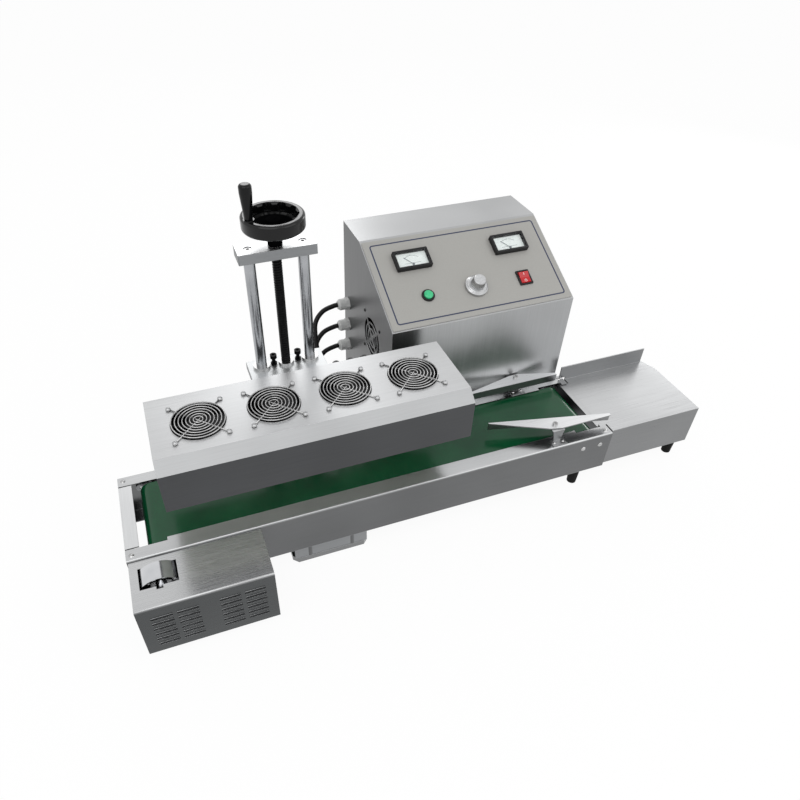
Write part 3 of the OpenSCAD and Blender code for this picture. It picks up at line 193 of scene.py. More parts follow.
def ground_sheet(name, grain, painted_tones, roughness=0.34):
    """Belt-ground sheet: fine streaks along the grain, smoky patches, and painted light and shade:
    a tone for each way it faces.

    The painted tones of light and shade are those of sheet that faces left, front, right, up at a
    slant and straight up.
    """
    left, front, right, slope, top = painted_tones.split()
    material, tree, shader, coords = new_material(name)
    # grit lines about 0.4 mm wide and a few centimetres long, drawn at 1 mm so that they show
    scale = [14.0 if axis == grain else 900.0 for axis in "xyz"]
    streaks = add(tree, "ShaderNodeMapping", {"Vector": coords, "Scale": scale}).outputs["Vector"]
    lines = {"Vector": streaks, "Scale": 1.0, "Detail": 3.0}
    grit = add(tree, "ShaderNodeTexNoise", lines).outputs["Fac"]
    # smoky patches a hand wide
    patches = {"Vector": coords, "Scale": 6.0, "Detail": 1.5}
    smoke = add(tree, "ShaderNodeTexNoise", patches).outputs["Fac"]
    normal = add(tree, "ShaderNodeNewGeometry").outputs["Normal"]
    way = add(tree, "ShaderNodeSeparateXYZ", {"Vector": normal}).outputs
    # painted light and shade: upright sheet is painted with the dark of the room, sheet lying flat
    # with the light above it
    turned = {"Value": way["X"], "From Min": -1.0, "From Max": 1.0}
    across = add(tree, "ShaderNodeMapRange", turned).outputs["Result"]
    stops = [(0.0, left), (0.5, front), (1.0, right)]
    upright = add(tree, "ShaderNodeValToRGB", {"Fac": across}, stops).outputs["Color"]
    stops = [(0.78, slope), (1.0, top)]
    lying = add(tree, "ShaderNodeValToRGB", {"Fac": way["Z"]}, stops).outputs["Color"]
    raised = {"Value": way["Z"], "From Min": 0.1, "From Max": 0.7}
    rise = add(tree, "ShaderNodeMapRange", raised).outputs["Result"]
    # a colour mix has its factor at input 0, its colours at 6 and 7, and its result at output 2
    layers = {0: rise, 6: upright, 7: lying}
    tone = add(tree, "ShaderNodeMix", layers, data_type="RGBA").outputs[2]
    for factor, dark in ((smoke, "#ECECEC"), (grit, "#F4F4F4")):
        stops = [(LOW, dark), (HIGH, "#FFFFFF")]
        shade = add(tree, "ShaderNodeValToRGB", {"Fac": factor}, stops).outputs["Color"]
        layers = {0: 1.0, 6: tone, 7: shade}
        blend = {"data_type": "RGBA", "blend_type": "MULTIPLY"}
        tone = add(tree, "ShaderNodeMix", layers, **blend).outputs[2]
    wander = {
        "Value": grit,
        "From Min": LOW,
        "From Max": HIGH,
        "To Min": roughness - 0.03,
        "To Max": roughness + 0.04,
    }
    relief = {"Height": grit, "Strength": 0.014, "Distance": 0.2 * MM}
    look = {
        "Base Color": tone,
        "Roughness": add(tree, "ShaderNodeMapRange", wander).outputs["Result"],
        "Normal": add(tree, "ShaderNodeBump", relief).outputs["Normal"],
        "Metallic": 1.0,
    }
    plug(tree, shader, look)
    return material


def mottled(name, low, high, size_mm, roughness, metallic=0.0, bump=0.1, spread=0.08, gloss=0.5):
    """A finish whose tone and gloss wander over size_mm, with a fine relief."""
    material, tree, shader, coords = new_material(name)
    patches = {"Vector": coords, "Scale": 1000.0 / size_mm, "Detail": 4.0}
    factor = add(tree, "ShaderNodeTexNoise", patches).outputs["Fac"]
    stops = [(LOW, low), (HIGH, high)]
    wander = {
        "Value": factor,
        "From Min": LOW,
        "From Max": HIGH,
        "To Min": max(0.02, roughness - spread),
        "To Max": roughness + spread,
    }
    relief = {"Height": factor, "Strength": bump, "Distance": 0.05 * MM}
    look = {
        "Base Color": add(tree, "ShaderNodeValToRGB", {"Fac": factor}, stops).outputs["Color"],
        "Roughness": add(tree, "ShaderNodeMapRange", wander).outputs["Result"],
        "Normal": add(tree, "ShaderNodeBump", relief).outputs["Normal"],
        "Metallic": metallic,
        "Specular IOR Level": gloss,
    }
    plug(tree, shader, look)
    return material


def tint_in_front(material, start, end, code):
    """Lays a colour over a finish where the object's own Y goes from start to end, in metres."""
    tree = material.node_tree
    shader = tree.nodes["Principled BSDF"]
    coords = add(tree, "ShaderNodeTexCoord").outputs["Object"]
    depth = add(tree, "ShaderNodeSeparateXYZ", {"Vector": coords}).outputs["Y"]
    reach = {"Value": depth, "From Min": start, "From Max": end}
    share = add(tree, "ShaderNodeMapRange", reach).outputs["Result"]
    plain = shader.inputs["Base Color"].links[0].from_socket
    layers = {0: share, 6: plain, 7: linear(code)}
    tone = add(tree, "ShaderNodeMix", layers, data_type="RGBA").outputs[2]
    plug(tree, shader, {"Base Color": tone})


def polished_rim(name):
    """Moulded handwheel: the rim polished to a deep black gloss, the bowl inside it left dull."""
    material = mottled(name, "#050506", "#0B0B0C", 25, 0.14, bump=0.02, spread=0.04)
    tree = material.node_tree
    coords = add(tree, "ShaderNodeTexCoord").outputs["Object"]
    level = {0: coords, 1: (1.0, 1.0, 0.0)}
    flat = add(tree, "ShaderNodeVectorMath", level, operation="MULTIPLY").outputs["Vector"]
    ends = {0: flat, 1: SCREW_AXIS}
    reach = add(tree, "ShaderNodeVectorMath", ends, operation="DISTANCE").outputs["Value"]
    # no gloss up to 26.5 mm from the axis, the rim's own from 29 mm
    bowl, rim = 26.5 * MM, 29.0 * MM
    rising = {"Value": reach, "From Min": bowl, "From Max": rim, "To Min": 0.0, "To Max": 0.3}
    gloss = add(tree, "ShaderNodeMapRange", rising).outputs["Result"]
    plug(tree, tree.nodes["Principled BSDF"], {"Specular IOR Level": gloss})


def coated_belt():
    """Green PVC coating on a woven carrier: glossy, with the weave printing through faintly."""
    _, tree, shader, coords = new_material("coated belt")
    # carrier threads about 1.2 mm apart, drawn at 2.4 mm so that they show
    threads = {"Vector": coords, "Scale": 130.0, "Distortion": 0.4}
    warp, weft = (
        add(tree, "ShaderNodeTexWave", threads, bands_direction=way).outputs["Fac"] for way in "XY"
    )
    cloth = add(tree, "ShaderNodeMath", {0: warp, 1: weft}, operation="ADD").outputs["Value"]
    patches = {"Vector": coords, "Scale": 14.0, "Detail": 4.0}
    worn = add(tree, "ShaderNodeTexNoise", patches).outputs["Fac"]
    stops = [(LOW, "#063F24"), (HIGH, colours().belt)]
    wander = {"Value": worn, "From Min": LOW, "From Max": HIGH, "To Min": 0.12, "To Max": 0.22}
    relief = {"Height": cloth, "Strength": 0.06, "Distance": 0.2 * MM}
    look = {
        "Base Color": add(tree, "ShaderNodeValToRGB", {"Fac": worn}, stops).outputs["Color"],
        "Roughness": add(tree, "ShaderNodeMapRange", wander).outputs["Result"],
        "Normal": add(tree, "ShaderNodeBump", relief).outputs["Normal"],
        "Specular IOR Level": 0.4,
    }
    plug(tree, shader, look)


def clear_acrylic():
    """Meter window: clear and thin, with a soft gloss and faint wiping marks."""
    _, tree, _, coords = new_material("clear acrylic")
    marks = {"Vector": coords, "Scale": 90.0, "Detail": 2.0}
    wipes = add(tree, "ShaderNodeTexNoise", marks).outputs["Fac"]
    wander = {"Value": wipes, "To Min": 0.02, "To Max": 0.08}
    rough = add(tree, "ShaderNodeMapRange", wander).outputs["Result"]
    clear = add(tree, "ShaderNodeBsdfTransparent", {"Color": linear("#FCFEFE")}).outputs["BSDF"]
    shine = {"Color": linear("#FFFFFF"), "Roughness": rough}
    gloss = add(tree, "ShaderNodeBsdfGlossy", shine).outputs["BSDF"]
    edge = add(tree, "ShaderNodeFresnel", {"IOR": 1.3}).outputs["Fac"]
    # only the outer faces shine, so that the dial stays in sight at a slant
    inside = add(tree, "ShaderNodeNewGeometry").outputs["Backfacing"]
    rest = {0: 1.0, 1: inside}
    outside = add(tree, "ShaderNodeMath", rest, operation="SUBTRACT").outputs["Value"]
    both = {0: edge, 1: outside}
    share = add(tree, "ShaderNodeMath", both, operation="MULTIPLY").outputs["Value"]
    window = add(tree, "ShaderNodeMixShader", {0: share, 1: clear, 2: gloss}).outputs["Shader"]
    plug(tree, tree.nodes["Material Output"], {"Surface": window})


def sheet_finishes():
    """Ground sheet and plate."""
    # sheet ground along the belt: rails and slider bed, then the head, with its painted shade
    # darker
    rails = "#606162 #707172 #808182 #A2A3A4 #CCCDCE"
    ground_sheet("belt-ground stainless, long", "x", rails, 0.22)
    head = "#525354 #57585A #767778 #A4A5A6 #D2D3D4"
    ground_sheet("belt-ground stainless, cover", "x", head, 0.4)
    # drive box: the same sheet, with painted shade laid dark over the louvres that stand out in
    # front of its face
    drive = "#525354 #585A5B #767778 #9C9D9E #D0D1D2"
    louvred_painted_shade = ground_sheet("belt-ground stainless, louvred", "x", drive, 0.27)
    tint_in_front(louvred_painted_shade, DRIVE_FRONT - 0.15 * MM, DRIVE_FRONT - 0.6 * MM, "#303132")
    # end plates ground across the belt
    ends = "#606162 #707172 #808182 #A2A3A4 #DEDFE0"
    ground_sheet("belt-ground stainless, cross", "y", ends)
    # control box ground up and down, its front painted lighter with the reflected light of the
    # bench
    box = "#606162 #B8B9BA #8A8B8C #B0B1B2 #C0C1C2"
    ground_sheet("belt-ground stainless, upright", "z", box)
    # table, guide posts and base plate of the same sheet in a finer, paler finish
    ground_sheet("satin stainless", "x", "#848586 #8A8B8C #9A9B9C #B4B5B6 #C8C9CA", 0.3)
    # guides polished after folding, painted nearly white with light where they face up
    ground_sheet("polished stainless", "x", "#848586 #8E8F90 #A0A1A2 #C8C9CA #EAEBEC", 0.3)
    # anodised carriage: an even pale grey
    ground_sheet("anodised aluminium", "x", "#7E8082 #8E9092 #9C9EA0 #B8BABC #D6D8D9", 0.42)
    # milled aluminium plate: painted shade on its edges, painted light on its pale face
    ground_sheet("milled aluminium", "x", "#7E8082 #989A9C #9C9EA0 #C0C2C4 #EEEFF0", 0.4)


def metal_finishes():
    """Bars, platings and turned parts."""
    # ground bar: mid grey, bright along one line
    mottled("ground steel bar", "#9A9C9F", "#B0B2B5", 30, 0.2, 1.0, bump=0.02, spread=0.03)
    # hard chrome on rollers and thumbwheel: bright and almost even
    mottled("hard chrome", "#C0C2C5", "#D2D3D5", 30, 0.12, 1.0, bump=0.02, spread=0.03)
    # nickel-plated wire, screws and bushes: grey, slightly milky
    mottled("nickel plate", "#A2A2A2", "#BEBEBE", 12, 0.25, 1.0, bump=0.03, spread=0.05)
    # turned and bead-blasted knob: pale satin
    mottled("satin turned aluminium", "#B4B5B6", "#C8C9CA", 3, 0.34, 1.0, bump=0.05)
    # blackened steel: dark, oily sheen
    mottled("black oxide steel", "#0B0B0C", "#171819", 6, 0.38, 0.6, bump=0.08, gloss=0.2)
    # blackened stop screws, and zinc-plated screws in front of them on the fans
    screws = mottled("blackened and plated screws", "#0B0B0C", "#191A1B", 6, 0.34, 1.0, bump=0.06)
    tint_in_front(screws, -20 * MM, -30 * MM, "#A8A9AA")
    # stove-enamelled motor: mid grey with orange peel
    mottled("grey enamel", "#4B4F52", "#5A5E61", 1.5, 0.4, bump=0.12)
    # enamelled copper winding: warm lacquered brown
    mottled("enamelled copper", "#8E4A22", "#B0642F", 1.5, 0.32, 1.0, bump=0.15)
    # sintered ferrite: dull charcoal
    mottled("sintered ferrite", "#2A2A2C", "#39393B", 1, 0.62, bump=0.2)
    # extruded heat sink: dark anodised grey
    mottled("extruded heat sink", "#3A3C3E", "#55585A", 2, 0.45, 0.8, bump=0.08)


def plastic_finishes():
    """Mouldings, foil, inks and the belt."""
    # phenolic handle and wheel, moulded and polished: deep black gloss
    phenolic = ("#050506", "#0B0B0C", 25, 0.14)
    mottled("polished phenolic", *phenolic, bump=0.02, spread=0.04, gloss=0.22)
    polished_rim("phenolic with polished rim")
    # moulded ABS: black with a fine spark-eroded grain
    mottled("moulded black plastic", "#0C0C0D", "#18181A", 0.8, 0.45, bump=0.12, gloss=0.3)
    # rubber feet: dull black with dusty bloom
    mottled("moulded rubber", "#0A0A0A", "#171717", 3, 0.72, bump=0.15, gloss=0.15)
    # cable sheath: satin black PVC
    mottled("cable sheath", "#0B0B0C", "#141415", 5, 0.42, bump=0.05, gloss=0.22)
    # nylon cable glands: pale grey, slightly waxy
    mottled("grey nylon", "#BDBEBD", "#D2D3D2", 2, 0.42, bump=0.06)
    # moulded board of the coil: off-white, barely grained
    mottled("moulded coil board", "#DEDDD6", "#ECEBE5", 2, 0.5, bump=0.06)
    # printed panel foil: warm grey, satin, barely grained
    mottled("panel foil", colours().panel, "#A6A5A1", 1.2, 0.42, bump=0.05, spread=0.04)
    # printing ink on the panel, dials, needles and switches: nearly flat, satin
    mottled("border ink", colours().border, "#303854", 2, 0.5, bump=0.02)
    mottled("black ink", "#111214", "#1C1D20", 2, 0.5, bump=0.02)
    mottled("grey ink", "#76797E", "#868A8F", 2, 0.5, bump=0.02)
    mottled("white ink", "#E8E8E6", "#F6F6F4", 2, 0.5, bump=0.02)
    # coated dial card: white, matt
    mottled("dial card", "#EFEFEC", "#FAFAF8", 3, 0.55, bump=0.02)
    # push button and rocker caps: glossy coloured acrylic
    mottled("green acrylic", colours().button, "#3CC88A", 6, 0.22, bump=0.02)
    mottled("red acrylic", colours().rocker, "#C2181F", 6, 0.22, bump=0.02)
    coated_belt()
    clear_acrylic()


def finishes():
    """Every finish of the machine, made once and kept by name."""
    if "milled aluminium" not in bpy.data.materials:
        sheet_finishes()
        metal_finishes()
        plastic_finishes()


def dress(finish, *names):
    """Gives CAD nodes a finish."""
    for name in names:
        node = NODES[name]
        if not node.material_slots:
            node.data.materials.append(None)
        for slot in node.material_slots:
            slot.material = bpy.data.materials[finish]


def soften(width, *names):
    """Rounds the sharp edges of CAD nodes by width."""
    for name in names:
        weld = NODES[name].modifiers.new("close seams", "WELD")
        weld.merge_threshold = 0.01 * MM
        flat = NODES[name].modifiers.new("join flat faces", "DECIMATE")
        flat.decimate_type = "DISSOLVE"
        flat.angle_limit = math.radians(1)
        edge = NODES[name].modifiers.new("edge rounding", "BEVEL")
        edge.width = width
        edge.segments = 2
        edge.limit_method = "ANGLE"
        edge.angle_limit = math.radians(40)
        edge.harden_normals = True


def piece(name, bm, finish, body, smooth=False):
    """Turns a bmesh into a piece that moves with a body."""
    mesh = bpy.data.meshes.new(name)
    bmesh.ops.recalc_face_normals(bm, faces=bm.faces)
    bm.to_mesh(mesh)
    bm.free()
    mesh.materials.append(bpy.data.materials[finish])
    if smooth:
        for polygon in mesh.polygons:
            polygon.use_smooth = True
    obj = bpy.data.objects.new(name, mesh)
    bpy.context.scene.collection.objects.link(obj)
    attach(obj, body)
    return obj


def block(bm, size, matrix):
    """A cuboid of that size, moved by matrix."""
    bmesh.ops.create_cube(bm, size=1.0, matrix=matrix @ Matrix.Diagonal((*size, 1.0)))


def rod(bm, radius, length, segments, matrix):
    """A round bar along Z, moved by matrix."""
    bmesh.ops.create_cone(
        bm,
        cap_ends=True,
        segments=segments,
        radius1=radius,
        radius2=radius,
        depth=length,
        matrix=matrix,
    )


def shift(x, y, z):
    """Matrix that moves by millimetres."""
    return Matrix.Translation(Vector((x, y, z)) * MM)


def turn(angle, axis="Z"):
    """Matrix that turns by an angle in radians."""
    return Matrix.Rotation(angle, 4, axis)


def on_panel(u, s, n=0.0):
    """Matrix to a place on the panel, in millimetres."""
    return PANEL @ shift(u, s, n)


class SEALER_OT_stage(bpy.types.Operator):
    """Pale floor, soft lamps and the camera"""

    bl_idname = "sealer.stage"
    bl_label = "Stage"

    # name, place, target, width in metres and power in watts
    LAMPS = (
        ("key_softbox", (-1.0, -1.2, 2.4), (0.0, 0.0, 0.15), 2.4, 22.0),
        ("fill_softbox", (1.5, -1.3, 1.9), (0.1, 0.0, 0.1), 2.0, 13.0),
        ("rim_softbox", (0.25, 2.24, 1.53), (-0.2, 0.0, 0.5), 0.7, 5.5),
        ("edge_softbox", (1.84, 1.06, 0.65), (0.3, -0.09, 0.11), 0.5, 4.0),
    )

    def execute(self, context):
        scene = context.scene
        scene.view_settings.view_transform = "Standard"
        bm = bmesh.new()
        bmesh.ops.create_grid(bm, x_segments=1, y_segments=1, size=9.0)
        mesh = bpy.data.meshes.new("studio_floor")
        bm.to_mesh(mesh)
        bm.free()
        floor = bpy.data.objects.new("studio_floor", mesh)
        scene.collection.objects.link(floor)
        mesh.materials.append(self.paper())
        self.sky(scene)
        for name, place, target, size, power in self.LAMPS:
            lamp = bpy.data.lights.new(name, "AREA")
            lamp.size = size
            lamp.energy = power
            obj = bpy.data.objects.new(name, lamp)
            obj.location = place
            aim = Vector(target) - Vector(place)
            obj.rotation_euler = aim.to_track_quat("-Z", "Y").to_euler()
            scene.collection.objects.link(obj)
        self.camera(scene)
        return {"FINISHED"}

    def in_sight(self, tree):
        """1 on what is seen directly, in a gloss or through a window, 0 on what only lights."""
        path = add(tree, "ShaderNodeLightPath").outputs
        seen = path["Is Camera Ray"]
        for ray in ("Is Glossy Ray", "Is Transmission Ray"):
            pair = {0: seen, 1: path[ray]}
            seen = add(tree, "ShaderNodeMath", pair, operation="MAXIMUM").outputs["Value"]
        return seen

    def paper(self):
        """White background paper that keeps a faint shadow."""
        material, tree, shader, _ = new_material("background paper")
        plug(tree, shader, {"Base Color": linear("#FDFDFD"), "Roughness": 0.9})
        # the rest of the share is left to the shadow
        most = {0: self.in_sight(tree), 1: 0.94}
        share = add(tree, "ShaderNodeMath", most, operation="MULTIPLY").outputs["Value"]
        glow = {"Color": linear("#FFFFFF"), "Strength": 1.0}
        white = add(tree, "ShaderNodeEmission", glow).outputs["Emission"]
        layers = {0: share, 1: shader.outputs["BSDF"], 2: white}
        mixed = add(tree, "ShaderNodeMixShader", layers).outputs["Shader"]
        plug(tree, tree.nodes["Material Output"], {"Surface": mixed})
        return material

    def sky(self, scene):
        """Even studio surround, white where it is seen and dimmer where it only lights."""
        world = bpy.data.worlds.new("studio surround")
        scene.world = world
        world.use_nodes = True
        tree = world.node_tree
        light = {"Value": self.in_sight(tree), "To Min": 0.65, "To Max": 1.0}
        strength = add(tree, "ShaderNodeMapRange", light).outputs["Result"]
        plug(tree, tree.nodes["Background"], {"Color": linear("#FFFFFF"), "Strength": strength})

    def camera(self, scene):
        """Camera at the photograph's viewpoint, from a fit of the machine's corners."""
        pitch, yaw, roll = 0.7307, -0.3509, 0.0094
        # picture's side, focal length and optical centre, in pixels
        side_px, focal_px, centre_x, centre_y = 800.0, 665.2576, 367.8751, 420.2445
        ahead = Vector(
            (-math.sin(yaw) * math.cos(pitch), math.cos(yaw) * math.cos(pitch), -math.sin(pitch))
        )
        side = Vector((math.cos(yaw), math.sin(yaw), 0.0))
        up = side.cross(ahead)
        right = side * math.cos(roll) + up * math.sin(roll)
        above = up * math.cos(roll) - side * math.sin(roll)
        lens = bpy.data.cameras.new("photo_camera")
        lens.sensor_width = 36.0
        lens.sensor_fit = "HORIZONTAL"
        lens.lens = focal_px * 36.0 / side_px
        lens.shift_x = (side_px / 2 - centre_x) / side_px
        lens.shift_y = (centre_y - side_px / 2) / side_px
        camera = bpy.data.objects.new("photo_camera", lens)
        facing = Matrix((right, above, -ahead)).transposed().to_4x4()
        camera.matrix_world = Matrix.Translation(at(122.6694, -631.7747, 882.4959)) @ facing
        scene.collection.objects.link(camera)
        scene.camera = camera


def leaving(z):
    """First stretch of a cable, out of its gland in the control box's side."""
    return [(440, 393, z), (428, 393, z), (405, 389, z - 5), (388, 379, z - 18), (382, 365, z - 37)]


def arriving(x):
    """Last stretch of a cable, into its gland in the head's rear wall."""
    return [(x, 224, 186), (x, 217, 212), (x, 198, 231), (x, 172, 238), (x, 158, 238)]


def smooth_route(points, count):
    """Places on a smooth curve through the points, count of them in even steps of its parameter."""
    places = []
    spans = len(points) - 1
    for k in range(count):
        s = spans * k / (count - 1)
        i = min(int(s), spans - 1)
        t = s - i
        a, b, c, d = (Vector(points[min(max(i + j, 0), spans)]) for j in (-1, 0, 1, 2))
        square = (2 * a - 5 * b + 4 * c - d) * t * t
        cube = (3 * b - a - 3 * c + d) * t**3
        places.append(0.5 * (2 * b + (c - a) * t + square + cube))
    return places


class SEALER_OT_cables(bpy.types.Operator):
    """Coil leads from the control box's glands to the head"""

    bl_idname = "sealer.cables"
    bl_label = "Cables"

    # hanging stretch of each cable, after leaving the box and before arriving at the head
    ROUTES = {
        "cable_1": leaving(212)
        + [(380, 345, 147), (378, 321, 127), (375, 290, 119), (373, 258, 128), (372, 234, 153)]
        + arriving(372),
        "cable_2": leaving(166)
        + [(384, 345, 106), (388, 321, 89), (392, 291, 83)]
        + [(394, 260, 92), (396, 236, 117), (396, 225, 150)]
        + arriving(396),
        "cable_3": leaving(120)
        + [(386, 345, 64), (394, 314, 55), (404, 280, 61)]
        + [(413, 250, 83), (418, 231, 115), (420, 224, 150)]
        + arriving(420),
    }

    def execute(self, context):
        finishes()
        for name, route in self.ROUTES.items():
            points = smooth_route([at(*p) for p in route], 140)
            sheath = bpy.data.objects.new(name + "_sheath", self.tube(context, name, points))
            context.scene.collection.objects.link(sheath)
            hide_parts(name)
            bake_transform(sheath)
        return {"FINISHED"}

    def tube(self, context, name, points):
        """Mesh of a round cable along the points."""
        curve = bpy.data.curves.new(name + "_line", "CURVE")
        curve.dimensions = "3D"
        curve.bevel_depth = sizes().cable_d / 2
        curve.bevel_resolution = 5
        curve.use_fill_caps = True
        spline = curve.splines.new("POLY")
        spline.points.add(len(points) - 1)
        for point, place in zip(spline.points, points):
            point.co = (*place, 1.0)
        guide = bpy.data.objects.new(name + "_line", curve)
        context.scene.collection.objects.link(guide)
        context.view_layer.update()
        shown = guide.evaluated_get(context.evaluated_depsgraph_get())
        mesh = bpy.data.meshes.new_from_object(shown)
        bpy.data.objects.remove(guide)
        mesh.name = name + "_sheath"
        mesh.materials.clear()
        mesh.materials.append(bpy.data.materials["cable sheath"])
        for polygon in mesh.polygons:
            polygon.use_smooth = True
        return mesh


class SEALER_OT_conveyor(bpy.types.Operator):
    """Rails, belt, rollers, table, guides and drive box"""

    bl_idname = "sealer.conveyor"
    bl_label = "Conveyor"

    def execute(self, context):
        finishes()
        dress("belt-ground stainless, long", "front_rail", "back_rail", "slider_bed")
        dress("belt-ground stainless, louvred", "drive_box")
        dress("satin stainless", "extension_table", "guide_posts", "base_plate")
        dress("polished stainless", "guide_plate_front", "guide_plate_rear")
        dress("belt-ground stainless, cross", "end_plates", "frame_spacers")
        dress("coated belt", "belt")
        dress("hard chrome", "drive_roller", "idler_roller", "speed_wheel")
        dress("nickel plate", "frame_bolts")
        dress("milled aluminium", "roller_bearings")
        dress("moulded rubber", "feet")
        dress("grey enamel", "drive_motor")
        dress("moulded black plastic", "speed_control")
        edge = sizes().edge_r
        soften(edge, "drive_box", "extension_table", "end_plates", "guide_posts", "base_plate")
        soften(edge, "guide_plate_front", "guide_plate_rear")
        self.base_lip()
        self.table_lip()
        return {"FINISHED"}

    def base_lip(self):
        """Front lip of the base plate, up to the rail."""
        low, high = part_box("base_plate")
        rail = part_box("front_rail")[0][2]
        thick = 1.2 * MM
        bm = bmesh.new()
        size = (high[0] - low[0] - 6 * MM, thick, rail - high[2] - 0.3 * MM)
        middle = ((low[0] + high[0]) / 2, low[1] + thick, (rail + high[2]) / 2)
        block(bm, size, Matrix.Translation(middle))
        piece("base_lip", bm, "milled aluminium", "frame")

    def table_lip(self):
        """Strip that carries the table's edge up to the belt."""
        low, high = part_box("belt")
        start = high[0] + 5 * MM
        bm = bmesh.new()
        size = (STRIP_END - start, high[1] - low[1] - 2 * MM, 1.2 * MM)
        middle = ((start + STRIP_END) / 2, (low[1] + high[1]) / 2, high[2] - 0.9 * MM)
        block(bm, size, Matrix.Translation(middle))
        piece("table_lip", bm, "satin stainless", "frame")


class SEALER_OT_stand(bpy.types.Operator):
    """Columns, threaded screw, handwheel and carriage"""

    bl_idname = "sealer.stand"
    bl_label = "Stand"

    def execute(self, context):
        finishes()
        dress("ground steel bar", "columns")
        dress("milled aluminium", "top_plate")
        dress("anodised aluminium", "carriage")
        dress("phenolic with polished rim", "handwheel")
        dress("polished phenolic", "crank_handle")
        dress("nickel plate", "carriage_bushes")
        soften(2 * sizes().edge_r, "top_plate")
        soften(sizes().edge_r, "carriage", "handwheel")
        self.thread()
        return {"FINISHED"}

    def thread(self):
        """Trapezoidal thread, spun up the screw between its plain ends."""
        low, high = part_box("lead_screw")
        middle = (Vector(low) + Vector(high)) / 2
        radius = (high[0] - low[0]) / 2
        pitch = sizes().thread_pitch
        core = radius - sizes().thread_depth
        # heights of the plain ends above the bench, and steps of the spin per turn
        bottom, top = 10.6 * MM, 444.4 * MM
        steps = 20
        turns = int((top - bottom) / pitch) - 1
        bm = bmesh.new()
        profile = [(core, 0.0), (radius, 0.22), (radius, 0.5), (core, 0.72), (core, 1.0)]
        verts = [bm.verts.new((middle.x + r, middle.y, bottom + z * pitch)) for r, z in profile]
        edges = [bm.edges.new(pair) for pair in zip(verts, verts[1:])]
        bmesh.ops.spin(
            bm,
            geom=verts + edges,
            cent=(middle.x, middle.y, 0.0),
            axis=(0.0, 0.0, 1.0),
            dvec=(0.0, 0.0, pitch / steps),
            angle=2 * math.pi * turns,
            steps=steps * turns,
            use_merge=False,
            use_duplicate=False,
        )
        bmesh.ops.remove_doubles(bm, verts=bm.verts, dist=0.02 * MM)
        # collars over the thread's two ends, necks beyond them, and the core inside
        collar, lap = 1.3 * pitch, 0.3 * MM
        neck = radius - 2 * MM
        bars = (
            (radius, bottom - lap, bottom + collar, 32),
            (radius, top - collar, top + lap, 32),
            (neck, low[2], bottom, 32),
            (neck, top, high[2], 32),
            (core - 0.1 * MM, bottom, top, 24),
        )
        for r, z0, z1, segments in bars:
            place = Matrix.Translation((middle.x, middle.y, (z0 + z1) / 2))
            rod(bm, r, z1 - z0, segments, place)
        screw = piece("threaded_screw", bm, "black oxide steel", "screw")
        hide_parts("lead_screw")


class SEALER_OT_head(bpy.types.Operator):
    """Sealing head with its fans, coil and glands"""

    bl_idname = "sealer.head"
    bl_label = "Sealing head"

    def execute(self, context):
        finishes()
        dress("belt-ground stainless, cover", "head_housing")
        dress("moulded coil board", "coil_plate")
        dress("enamelled copper", "induction_coil")
        dress("sintered ferrite", "ferrite_bars")
        dress("moulded black plastic", "fan_frames")
        dress("moulded black plastic", "fan_rotor_1", "fan_rotor_2", "fan_rotor_3", "fan_rotor_4")
        dress("blackened and plated screws", "head_screws")
        dress("grey nylon", "head_glands")
        soften(sizes().edge_r, "head_housing")
        self.guards()
        return {"FINISHED"}

    def guards(self):
        """Wire guards: rings on two crossed wires, with an eye round each screw."""
        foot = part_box("fan_guards")[0][2]
        wire = sizes().wire_d
        # half the screws' pitch, and the eyes' height and radius
        hole, eye_h, eye_r = 35.75 * MM, 2.6 * MM, 2.9 * MM
        bm = bmesh.new()
        for k in range(4):
            low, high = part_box(f"fan_rotor_{k + 1}")
            hub = Vector(((low[0] + high[0]) / 2, (low[1] + high[1]) / 2, foot))
            # seven rings, 5 mm apart, on top of the crossed wires
            above = Vector((0.0, 0.0, eye_h / 2 + 0.9 * wire))
            for r in range(7):
                self.ring(bm, hub + above, (6.5 + 5.0 * r) * MM, wire)
            for quarter in (45, 135):
                lie = turn(math.radians(quarter)) @ turn(math.pi / 2, "Y")
                place = Matrix.Translation(hub + Vector((0.0, 0.0, eye_h / 2))) @ lie
                rod(bm, wire / 2, 2 * (math.sqrt(2) * hole - eye_r), 10, place)
            for x, y in ((-1, -1), (1, -1), (1, 1), (-1, 1)):
                self.ring(bm, hub + Vector((x * hole, y * hole, eye_h / 2)), eye_r, wire)
        wires = piece("guard_wires", bm, "nickel plate", "head", smooth=True)
        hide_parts("fan_guards")

    def ring(self, bm, hub, radius, wire):
        """A wire bent to a ring round hub."""
        stand = Matrix.Translation(hub + Vector((radius, 0.0, 0.0))) @ turn(math.pi / 2, "X")
        section = bmesh.ops.create_circle(
            bm, cap_ends=False, segments=8, radius=wire / 2, matrix=stand
        )["verts"]
        edges = list({edge for vert in section for edge in vert.link_edges})
        bmesh.ops.spin(
            bm,
            geom=section + edges,
            cent=hub,
            axis=(0.0, 0.0, 1.0),
            dvec=(0.0, 0.0, 0.0),
            angle=2 * math.pi,
            steps=max(20, int(radius / MM * 1.8)),
            use_merge=True,
            use_duplicate=False,
        )


class SEALER_OT_control_box(bpy.types.Operator):
    """Control box, panel, meters and switches"""

    bl_idname = "sealer.control_box"
    bl_label = "Control box"

    def execute(self, context):
        finishes()
        dress("belt-ground stainless, upright", "control_box", "box_back")
        dress("panel foil", "control_panel")
        dress("extruded heat sink", "power_module")
        dress("moulded black plastic", "box_fan", "box_fan_rotor", "meter_cases", "switch_bodies")
        dress("dial card", "meter_dials")
        dress("clear acrylic", "meter_lenses")
        dress("grey ink", "needle_left", "needle_right")
        dress("satin turned aluminium", "power_knob")
        dress("green acrylic", "push_button")
        dress("red acrylic", "rocker")
        dress("grey nylon", "cable_glands")
        soften(sizes().edge_r, "control_box", "meter_cases")
        return {"FINISHED"}


